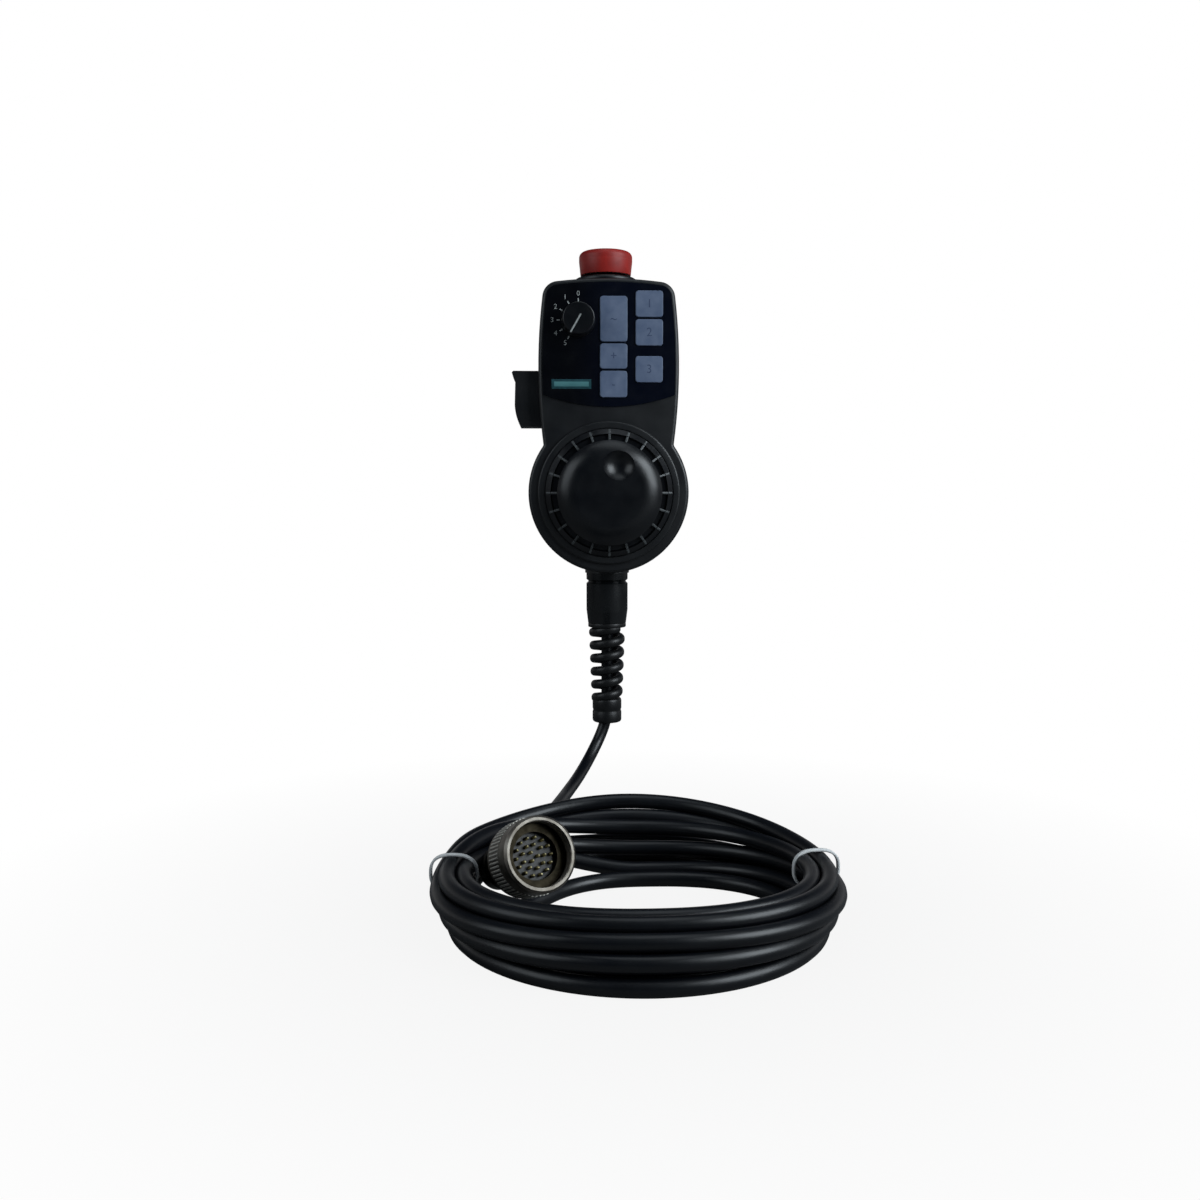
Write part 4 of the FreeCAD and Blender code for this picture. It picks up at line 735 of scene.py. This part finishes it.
def ring_of_bars():
    """A tree for equal round-edged bars set round a circle in the XY plane. A bar lies along its radius, and
    leans over towards the plane's back by its tilt."""
    tree, given, result = new_tree("ring_of_bars", {
        "Count": "Int", "Radius": "Float", "First Angle": "Float", "Step Angle": "Float", "Length": "Float",
        "Width": "Float", "Height": "Float", "Edge": "Float", "Tilt": "Float", "Material": "Material"})
    points = add_node(tree, "GeometryNodePoints", {"Count": given["Count"]})
    number = add_node(tree, "GeometryNodeInputIndex")
    angle = add_node(tree, "ShaderNodeMath", {
        0: number.outputs["Index"], 1: given["Step Angle"], 2: given["First Angle"]},
        operation="MULTIPLY_ADD")
    across = add_node(tree, "ShaderNodeMath", {0: angle.outputs[0]}, operation="COSINE")
    along = add_node(tree, "ShaderNodeMath", {0: angle.outputs[0]}, operation="SINE")
    way = add_node(tree, "ShaderNodeCombineXYZ", {"X": across.outputs[0], "Y": along.outputs[0]})
    spot = add_node(tree, "ShaderNodeVectorMath", {
        0: way.outputs[0], "Scale": given["Radius"]}, operation="SCALE")
    placed = add_node(tree, "GeometryNodeSetPosition", {
        "Geometry": points.outputs[0], "Position": spot.outputs[0]})
    half = add_node(tree, "ShaderNodeMath", {0: given["Length"], 1: 0.5}, operation="MULTIPLY")
    back = add_node(tree, "ShaderNodeMath", {0: given["Length"], 1: -0.5}, operation="MULTIPLY")
    start = add_node(tree, "ShaderNodeCombineXYZ", {"X": back.outputs[0]})
    end = add_node(tree, "ShaderNodeCombineXYZ", {"X": half.outputs[0]})
    line = add_node(tree, "GeometryNodeCurvePrimitiveLine", {
        "Start": start.outputs[0], "End": end.outputs[0]})
    level = add_node(tree, "GeometryNodeSetCurveNormal", {"Curve": line.outputs[0]}, mode="Z_UP")
    section = add_node(tree, "GeometryNodeCurvePrimitiveQuadrilateral", {
        "Width": given["Width"], "Height": given["Height"]})
    eased = add_node(tree, "GeometryNodeFilletCurve", {
        "Curve": section.outputs[0], "Count": BAR_EDGE_STEPS, "Radius": given["Edge"]}, mode="POLY")
    bar = add_node(tree, "GeometryNodeCurveToMesh", {
        "Curve": level.outputs[0], "Profile Curve": eased.outputs[0], "Fill Caps": True})
    leaning = add_node(tree, "ShaderNodeCombineXYZ", {"Y": given["Tilt"]})
    tilted = add_node(tree, "GeometryNodeTransform", {
        "Geometry": bar.outputs[0], "Rotation": leaning.outputs[0]})
    turned = add_node(tree, "ShaderNodeCombineXYZ", {"Z": angle.outputs[0]})
    copies = add_node(tree, "GeometryNodeInstanceOnPoints", {
        "Points": placed.outputs[0], "Instance": tilted.outputs[0], "Rotation": turned.outputs[0]})
    real = add_node(tree, "GeometryNodeRealizeInstances", {"Geometry": copies.outputs[0]})
    dressed = add_node(tree, "GeometryNodeSetMaterial", {
        "Geometry": real.outputs[0], "Material": given["Material"]})
    tree.links.new(dressed.outputs[0], result.inputs[0])
    return tree


def ring_of_contacts():
    """A tree for round-tipped contacts set round a circle in the XY plane, standing along +Z."""
    tree, given, result = new_tree("ring_of_contacts", {
        "Count": "Int", "Radius": "Float", "Contact Radius": "Float", "Contact Length": "Float",
        "Material": "Material"})
    ring = add_node(tree, "GeometryNodeMeshCircle", {"Vertices": given["Count"], "Radius": given["Radius"]})
    stem = add_node(tree, "GeometryNodeMeshCylinder", {
        "Vertices": CONTACT_SIDES, "Radius": given["Contact Radius"], "Depth": given["Contact Length"]})
    half = add_node(tree, "ShaderNodeMath", {0: given["Contact Length"], 1: 0.5}, operation="MULTIPLY")
    middle = add_node(tree, "ShaderNodeCombineXYZ", {"Z": half.outputs[0]})
    top = add_node(tree, "ShaderNodeCombineXYZ", {"Z": given["Contact Length"]})
    standing = add_node(tree, "GeometryNodeTransform", {
        "Geometry": stem.outputs["Mesh"], "Translation": middle.outputs[0]})
    dome = add_node(tree, "GeometryNodeMeshUVSphere", {
        "Segments": CONTACT_SIDES, "Rings": CONTACT_SIDES // 2, "Radius": given["Contact Radius"]})
    raised = add_node(tree, "GeometryNodeTransform", {
        "Geometry": dome.outputs["Mesh"], "Translation": top.outputs[0]})
    contact = add_node(tree, "GeometryNodeJoinGeometry", {"Geometry": standing.outputs[0]})
    tree.links.new(raised.outputs[0], contact.inputs[0])
    copies = add_node(tree, "GeometryNodeInstanceOnPoints", {
        "Points": ring.outputs["Mesh"], "Instance": contact.outputs[0]})
    real = add_node(tree, "GeometryNodeRealizeInstances", {"Geometry": copies.outputs[0]})
    smooth = add_node(tree, "GeometryNodeSetShadeSmooth", {"Geometry": real.outputs[0]})
    dressed = add_node(tree, "GeometryNodeSetMaterial", {
        "Geometry": smooth.outputs[0], "Material": given["Material"]})
    tree.links.new(dressed.outputs[0], result.inputs[0])
    return tree


def tapered_spiral():
    """A tree for a round-edged strand wound upwards in a left-handed spiral that widens."""
    tree, given, result = new_tree("tapered_spiral", {
        "Turns": "Float", "Low Radius": "Float", "Top Radius": "Float", "Rise": "Float",
        "Strand Width": "Float", "Strand Height": "Float", "Edge": "Float", "Material": "Material"})
    line = add_node(tree, "GeometryNodeCurveSpiral", {
        "Resolution": STEPS_A_WINDING, "Rotations": given["Turns"], "Start Radius": given["Low Radius"],
        "End Radius": given["Top Radius"], "Height": given["Rise"], "Reverse": True})
    upright = add_node(tree, "GeometryNodeSetCurveNormal", {"Curve": line.outputs[0]}, mode="Z_UP")
    section = add_node(tree, "GeometryNodeCurvePrimitiveQuadrilateral", {
        "Width": given["Strand Width"], "Height": given["Strand Height"]})
    eased = add_node(tree, "GeometryNodeFilletCurve", {
        "Curve": section.outputs[0], "Count": STRAND_EDGE_STEPS, "Radius": given["Edge"]}, mode="POLY")
    strand = add_node(tree, "GeometryNodeCurveToMesh", {
        "Curve": upright.outputs[0], "Profile Curve": eased.outputs[0], "Fill Caps": True})
    smooth = add_node(tree, "GeometryNodeSetShadeSmooth", {"Geometry": strand.outputs[0]})
    dressed = add_node(tree, "GeometryNodeSetMaterial", {
        "Geometry": smooth.outputs[0], "Material": given["Material"]})
    tree.links.new(dressed.outputs[0], result.inputs[0])
    return tree


BARS = ring_of_bars()
PINS = ring_of_contacts()
SPIRAL = tapered_spiral()


def bars(name, size, material, place, body, count=1, radius=0.0, first=0.0, step=0.0, tilt=0.0):
    """A ring of bars of this length, width and height as one piece, or one bar. Angles are in radians."""
    length, width, height = size
    edge = min(width, height) * BAR_EDGE_SHARE
    mesh = mesh_from_tree(name, BARS, {
        "Count": count, "Radius": radius * MM, "First Angle": first, "Step Angle": step,
        "Length": length * MM, "Width": width * MM, "Height": height * MM, "Edge": edge * MM, "Tilt": tilt,
        "Material": material}, place)
    return link_piece(name, mesh, body)


def wound_strand(name, rise, pitch, radii, section, material, place, body):
    """A spiral strand as one piece, from its low to its top radius. The section is the strand's width, its
    height and the rounding of its edges."""
    low, top = radii
    width, height, edge = section
    mesh = mesh_from_tree(name, SPIRAL, {
        "Turns": rise / pitch, "Low Radius": low * MM, "Top Radius": top * MM, "Rise": rise * MM,
        "Strand Width": width * MM, "Strand Height": height * MM, "Edge": edge * MM,
        "Material": material}, place)
    return link_piece(name, mesh, body)


def facing(x, depth, z):
    """The place of a flat thing that faces the viewer at this depth in front of the back."""
    return Matrix.Translation(Vector((x, -depth, z)) * MM) @ Matrix.Rotation(math.pi / 2, 4, "X")


def on_connector(back):
    """The place of a thing that stands along the connector's axis, this far behind the mouth."""
    turn = CONNECTOR_AXIS.to_track_quat("Z", "Y").to_matrix().to_4x4()
    return Matrix.Translation((CONNECTOR_MOUTH - CONNECTOR_AXIS * back) * MM) @ turn


# Turned rings

RING_SIDES = 96


def turned_ring(name, profile, x, depth, material, body):
    """A turned ring round an upright axis, from the corners of its section: radius and height."""
    rings = []
    for radius, height in profile:
        ring = []
        for side in range(RING_SIDES):
            turn = 2 * math.pi * side / RING_SIDES
            ring.append(Vector((x + radius * math.cos(turn), radius * math.sin(turn) - depth, height)))
        rings.append(ring)
    link_piece(name, ring_mesh(name, rings, material), body)


# Emergency stop

STOP_X = -0.9
STOP_DEPTH = 21
STOP_SKIRT = [
    (13.4, 89.8), (13.45, 89.6), (13.6, 89.55), (14.85, 89.55), (15.0, 89.6), (15.08, 89.75), (15.92, 97.6),
    (15.92, 98.14), (15.9, 98.2), (15.6, 98.2), (14.6, 92.7), (13.4, 92.7)]
STOP_BOSS = [
    (15.5, 84.5), (15.5, 87.4), (15.6, 87.65), (15.85, 87.75), (17.3, 87.65), (17.9, 87.3), (18.25, 86.7),
    (18.35, 84.5)]


def stop_trim():
    """The skirt of the stop's head, and the boss of the housing round it."""
    for name, profile, body, slot in (
            ("stop_skirt", STOP_SKIRT, "estop_knob", "stop_red"),
            ("stop_boss", STOP_BOSS, "housing", "housing_plastic")):
        turned_ring(name, profile, STOP_X, STOP_DEPTH, SLOT_MATERIALS[slot], body)


# Marks on the face panel, the knob and the keys

PANEL_DEPTH = 44.8
KEY_DEPTH = 45.7
INK = 0.08
SELECTOR_X = -18
SELECTOR_Z = 60.3
SELECTOR_STEPS = 6
SELECTOR_STEP = math.radians(30)
KNOB_DEPTH = 55.3
KNOB_RADIUS = 9.9
KNOB_LINE_TAIL = 2.5
KNOB_LINE_MARGIN = 0.6
KNOB_LINE_WIDTH = 0.9
TICK_RADIUS = 11.6
TICK_SIZE = (1.9, 0.7, INK)
FIGURE_RADIUS = 15.2
FIGURE_SIZE = 4.0
KEY_FIGURES = {
    "key_rapid": "~", "key_plus": "+", "key_minus": "-", "key_one": "1", "key_two": "2", "key_three": "3"}
KEY_FIGURE_SIZE = 7
PLATE_X = -22
PLATE_Z = 23.6
PLATE_SIZE = (23.2, 5.5, INK)
PLATE_MIDDLE_SIZE = (20.2, 2.8, INK * 2)


def lettering(name, text, size, place, body, ink):
    """A printed figure or sign, a hair proud of the surface under it."""
    data = bpy.data.curves.new(name, "FONT")
    data.body = text
    data.size = size * MM
    data.align_x = "CENTER"
    data.align_y = "CENTER"
    data.extrude = INK / 2 * MM
    data.materials.append(ink)
    mesh = plain_mesh(place_object(name, data), name)
    mesh.transform(place)
    link_piece(name, mesh, body)


def dial():
    """The selector's ticks and plain figures, counter-clockwise from the top, and the line on its knob. The
    line points at the last figure."""
    bars("dial_ticks", TICK_SIZE, WHITE, facing(SELECTOR_X, PANEL_DEPTH, SELECTOR_Z), "housing",
         count=SELECTOR_STEPS, radius=TICK_RADIUS, first=UPWARDS, step=SELECTOR_STEP)
    for step in range(SELECTOR_STEPS):
        angle = UPWARDS + step * SELECTOR_STEP
        x = SELECTOR_X + FIGURE_RADIUS * math.cos(angle)
        z = SELECTOR_Z + FIGURE_RADIUS * math.sin(angle)
        place = facing(x, PANEL_DEPTH, z)
        lettering("dial_figure_%d" % step, str(step), FIGURE_SIZE, place, "housing", WHITE)
    last_angle = UPWARDS + (SELECTOR_STEPS - 1) * SELECTOR_STEP
    length = KNOB_RADIUS + KNOB_LINE_TAIL - KNOB_LINE_MARGIN
    size = (length, KNOB_LINE_WIDTH, INK)
    bars("knob_line", size, WHITE, facing(SELECTOR_X, KNOB_DEPTH, SELECTOR_Z), "selector",
         radius=length / 2 - KNOB_LINE_TAIL, first=last_angle)


def key_marks():
    """A plain figure or sign on each key."""
    for key, figure in KEY_FIGURES.items():
        low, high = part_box(key)
        middle = (low + high) / 2 / MM
        place = facing(middle.x, KEY_DEPTH, middle.z)
        lettering(key + "_mark", figure, KEY_FIGURE_SIZE, place, key + "_cap", KEY_MARKS)


def blank_plate():
    """A printed teal plate with a paler middle and nothing on it."""
    place = facing(PLATE_X, PANEL_DEPTH, PLATE_Z)
    bars("blank_plate", PLATE_SIZE, TEAL, place, "housing")
    bars("blank_plate_middle", PLATE_MIDDLE_SIZE, PALE_TEAL, place, "housing")


# Handwheel

WHEEL_Z = -39.8
WHEEL_RIBS = 20
# Radius and depth of the two ends of a rib's crest
CREST_INNER = (31.0, 50.35)
CREST_OUTER = (37.0, 48.0)
CREST_WIDTH = 1.3
CREST_HEIGHT = 0.5


def rib_crests():
    """The crests of the handwheel's grip ribs, from the disc down to the rim, painted pale grey as a
    highlight.
    """
    run = CREST_OUTER[0] - CREST_INNER[0]
    drop = CREST_INNER[1] - CREST_OUTER[1]
    depth = (CREST_INNER[1] + CREST_OUTER[1]) / 2
    size = (math.hypot(run, drop), CREST_WIDTH, CREST_HEIGHT)
    piece = bars(
        "rib_crests", size, CREST_HIGHLIGHT, facing(0, depth, WHEEL_Z), "wheel", count=WHEEL_RIBS,
        radius=CREST_INNER[0] + run / 2, first=UPWARDS, step=2 * math.pi / WHEEL_RIBS,
        tilt=math.atan2(drop, run))


# Bend protector

GLAND_DEPTH = 22
SPIRAL_LOW = -165.5
SPIRAL_RISE = 43.55
SPIRAL_PITCH = 8.1
STRAND_RADII = (7.0, 8.6)
STRAND_SECTION = (5.2, 5.6, 2.5)
TOP_COLLAR = [
    (7.25, -121.6), (11.0, -121.6), (11.4, -121.45), (11.55, -121.1), (11.55, -119.3), (11.4, -118.95),
    (11.0, -118.8), (7.25, -118.8)]
END_COLLAR = [
    (3.55, -180.5), (7.6, -180.5), (8.3, -180.2), (8.75, -179.6), (8.9, -178.8), (8.9, -174.2),
    (8.6, -173.6), (8.6, -172.6), (8.9, -172.0), (8.9, -167.2), (8.6, -166.2), (7.9, -165.6), (7.0, -165.5),
    (3.55, -165.5)]


def bend_protector():
    """The spiral of the bend protector between its two collars."""
    foot = Matrix.Translation(Vector((0, -GLAND_DEPTH, SPIRAL_LOW)) * MM)
    piece = wound_strand(
        "protector_spiral", SPIRAL_RISE, SPIRAL_PITCH, STRAND_RADII, STRAND_SECTION, PROTECTOR,
        foot @ Matrix.Rotation(math.pi, 4, "Z"), "housing")
    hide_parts("bend_protector")
    for name, profile in (("protector_top_collar", TOP_COLLAR), ("protector_end_collar", END_COLLAR)):
        turned_ring(name, profile, 0, GLAND_DEPTH, PROTECTOR, "housing")


# Connector details

KNURL_RIDGES = 60
KNURL_SIZE = (9, 0.95, 0.9)
KNURL_SINK = 0.1
KNURL_BACK = 12
THREAD_RADII = (13.45, 13.45)
THREAD_SECTION = (0.5, 0.5, 0.12)
THREAD_LENGTH = 4.5
THREAD_PITCH = 0.9
# The radius of each ring by the number of its contacts
CONTACT_RINGS = {14: 7.68, 9: 4.8, 3: 1.92}
CONTACT_FOOT = 9
CONTACT_RADIUS = 0.75
CONTACT_LENGTH = 1.8


def nut_knurl():
    """Straight knurl round the coupling nut. Its ridges are bars tilted until they lie along the axis."""
    # The knurl's paler nickel is a painted highlight of its lit side.
    piece = bars(
        "nut_knurl", KNURL_SIZE, rubbed_nickel(), on_connector(KNURL_BACK), "coupling_nut",
        count=KNURL_RIDGES, radius=NUT_RADIUS - KNURL_SINK, step=2 * math.pi / KNURL_RIDGES,
        tilt=math.pi / 2)


def mouth_thread():
    """The thread inside the mouth of the coupling nut."""
    wound_strand(
        "mouth_thread", THREAD_LENGTH, THREAD_PITCH, THREAD_RADII, THREAD_SECTION, NICKEL,
        on_connector(THREAD_LENGTH + THREAD_PITCH / 2), "coupling_nut")


def contact_rings():
    """The contacts of the connector, in three rings, with rounded tips. They stand for the plain pins."""
    pieces = []
    for count, radius in CONTACT_RINGS.items():
        name = "contacts_of_%d" % count
        mesh = mesh_from_tree(name, PINS, {
            "Count": count, "Radius": radius * MM, "Contact Radius": CONTACT_RADIUS * MM,
            "Contact Length": CONTACT_LENGTH * MM, "Material": CONTACTS}, on_connector(CONTACT_FOOT))
        pieces.append(link_piece(name, mesh, "housing"))
    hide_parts("connector_pins")
    return pieces


# Floor and light

FLOOR_HALF = 3000
# Round this place the floor shows some shadow, and from the outer radius on none.
SHADOW_AT = (0, -260, FLOOR_Z)
SHADOW_INNER = 80
SHADOW_OUTER = 320
GLOW_IN_SHADOW = 0.9
# Light colours are linear red, green and blue, and the room's has an alpha.
DAYLIGHT = (0.86, 0.94, 1.0)
ROOM = (0.02, 0.026, 0.037, 1)
# Each lamp's place, the point it looks at, its width and height, and its watts
LAMPS = {
    "key": ((1000, -750, 500), (0, -100, -50), (800, 900), 14.5),
    "fill": ((-1000, -650, 450), (0, -100, -50), (800, 900), 3.6),
    "top": ((100, -250, 1100), (0, -150, -100), (800, 800), 2),
}
# The white sheet fades in over these shares of the way backwards, and out over these of the way up.
SHEET_SIDE = (-0.1, 0.4)
SHEET_TOP = (0.4, 0.15)
SHEET_IN_REFLECTIONS = 0.4


def add_floor():
    """A white floor under the coil. It takes soft shadows, and runs out to pure white all round."""
    low, high = -FLOOR_HALF, FLOOR_HALF
    mesh = bpy.data.meshes.new("floor")
    corners = [Vector((x, y, FLOOR_Z)) * MM for x, y in ((low, low), (high, low), (high, high), (low, high))]
    mesh.from_pydata(corners, [], [(0, 1, 2, 3)])
    floor = place_object("floor", mesh)
    material = bpy.data.materials.new("white_paper_floor")
    material.use_nodes = True
    tree = material.node_tree
    tree.nodes.clear()
    place = add_node(tree, "ShaderNodeTexCoord").outputs["Object"]
    from_coil = add_node(tree, "ShaderNodeVectorMath", {
        0: place, 1: Vector(SHADOW_AT) * MM}, operation="DISTANCE")
    share = add_node(tree, "ShaderNodeMapRange", {
        "Value": from_coil.outputs["Value"], "From Min": SHADOW_INNER * MM, "From Max": SHADOW_OUTER * MM,
        "To Min": GLOW_IN_SHADOW, "To Max": 1.0})
    camera = add_node(tree, "ShaderNodeLightPath").outputs["Is Camera Ray"]
    shown = add_node(tree, "ShaderNodeMath", {0: share.outputs["Result"], 1: camera}, operation="MULTIPLY")
    paper = add_node(tree, "ShaderNodeBsdfDiffuse", {"Color": colour("#808080")})
    glow = add_node(tree, "ShaderNodeEmission", {"Color": colour("#ffffff")})
    mix = add_node(tree, "ShaderNodeMixShader", {
        0: shown.outputs[0], 1: paper.outputs[0], 2: glow.outputs[0]})
    add_node(tree, "ShaderNodeOutputMaterial", {"Surface": mix.outputs[0]})
    mesh.materials.append(material)


def add_lamps():
    """Rectangular soft lamps of cool daylight."""
    for name, (at, aim, size, watts) in LAMPS.items():
        data = bpy.data.lights.new(name, "AREA")
        data.shape = "RECTANGLE"
        data.size, data.size_y = Vector(size) * MM
        data.energy = watts
        data.color = DAYLIGHT
        lamp = place_object(name, data)
        lamp.location = Vector(at) * MM
        lamp.rotation_euler = (Vector(aim) - Vector(at)).to_track_quat("-Z", "Y").to_euler()


def add_world():
    """A dim room for the light. A white sheet behind the object fills the camera's view, and shows in
    reflections up to its own height."""
    world = bpy.data.worlds.new("studio")
    bpy.context.scene.world = world
    world.use_nodes = True
    tree = world.node_tree
    tree.nodes.clear()
    path = add_node(tree, "ShaderNodeLightPath").outputs
    place = add_node(tree, "ShaderNodeTexCoord").outputs["Generated"]
    way = add_node(tree, "ShaderNodeSeparateXYZ", {"Vector": place})
    behind = add_node(tree, "ShaderNodeMapRange", {
        "Value": way.outputs["Y"], "From Min": SHEET_SIDE[0], "From Max": SHEET_SIDE[1]})
    low = add_node(tree, "ShaderNodeMapRange", {
        "Value": way.outputs["Z"], "From Min": SHEET_TOP[0], "From Max": SHEET_TOP[1]})
    sheet = add_node(tree, "ShaderNodeMath", {0: behind.outputs[0], 1: low.outputs[0]}, operation="MULTIPLY")
    mirrored = add_node(tree, "ShaderNodeMath", {
        0: path["Is Glossy Ray"], 1: path["Is Transmission Ray"]}, operation="MAXIMUM")
    dimmed = add_node(tree, "ShaderNodeMath", {
        0: mirrored.outputs[0], 1: SHEET_IN_REFLECTIONS}, operation="MULTIPLY")
    backdrop = add_node(tree, "ShaderNodeMath", {
        0: dimmed.outputs[0], 1: sheet.outputs[0]}, operation="MULTIPLY")
    white = add_node(tree, "ShaderNodeMath", {
        0: path["Is Camera Ray"], 1: backdrop.outputs[0]}, operation="MAXIMUM")
    mix = add_node(tree, "ShaderNodeMix", {
        MIX_SHARE: white.outputs[0], MIX_FIRST: ROOM, MIX_SECOND: colour("#ffffff")}, data_type="RGBA")
    room = add_node(tree, "ShaderNodeBackground", {"Color": mix.outputs[MIX_RESULT], "Strength": 1.0})
    add_node(tree, "ShaderNodeOutputWorld", {"Surface": room.outputs[0]})


add_camera()
dress_frame()
ties = [
    cable_tie("left_tie_band", "tie_left", 180 - TIE_BACK_ANGLE),
    cable_tie("right_tie_band", "tie_right", TIE_BACK_ANGLE)]
cable(ties + contact_rings())
bend_protector()
stop_trim()
nut_knurl()
mouth_thread()
rib_crests()
dial()
key_marks()
blank_plate()
add_floor()
add_lamps()
add_world()
bpy.context.scene.view_settings.view_transform = "Standard"
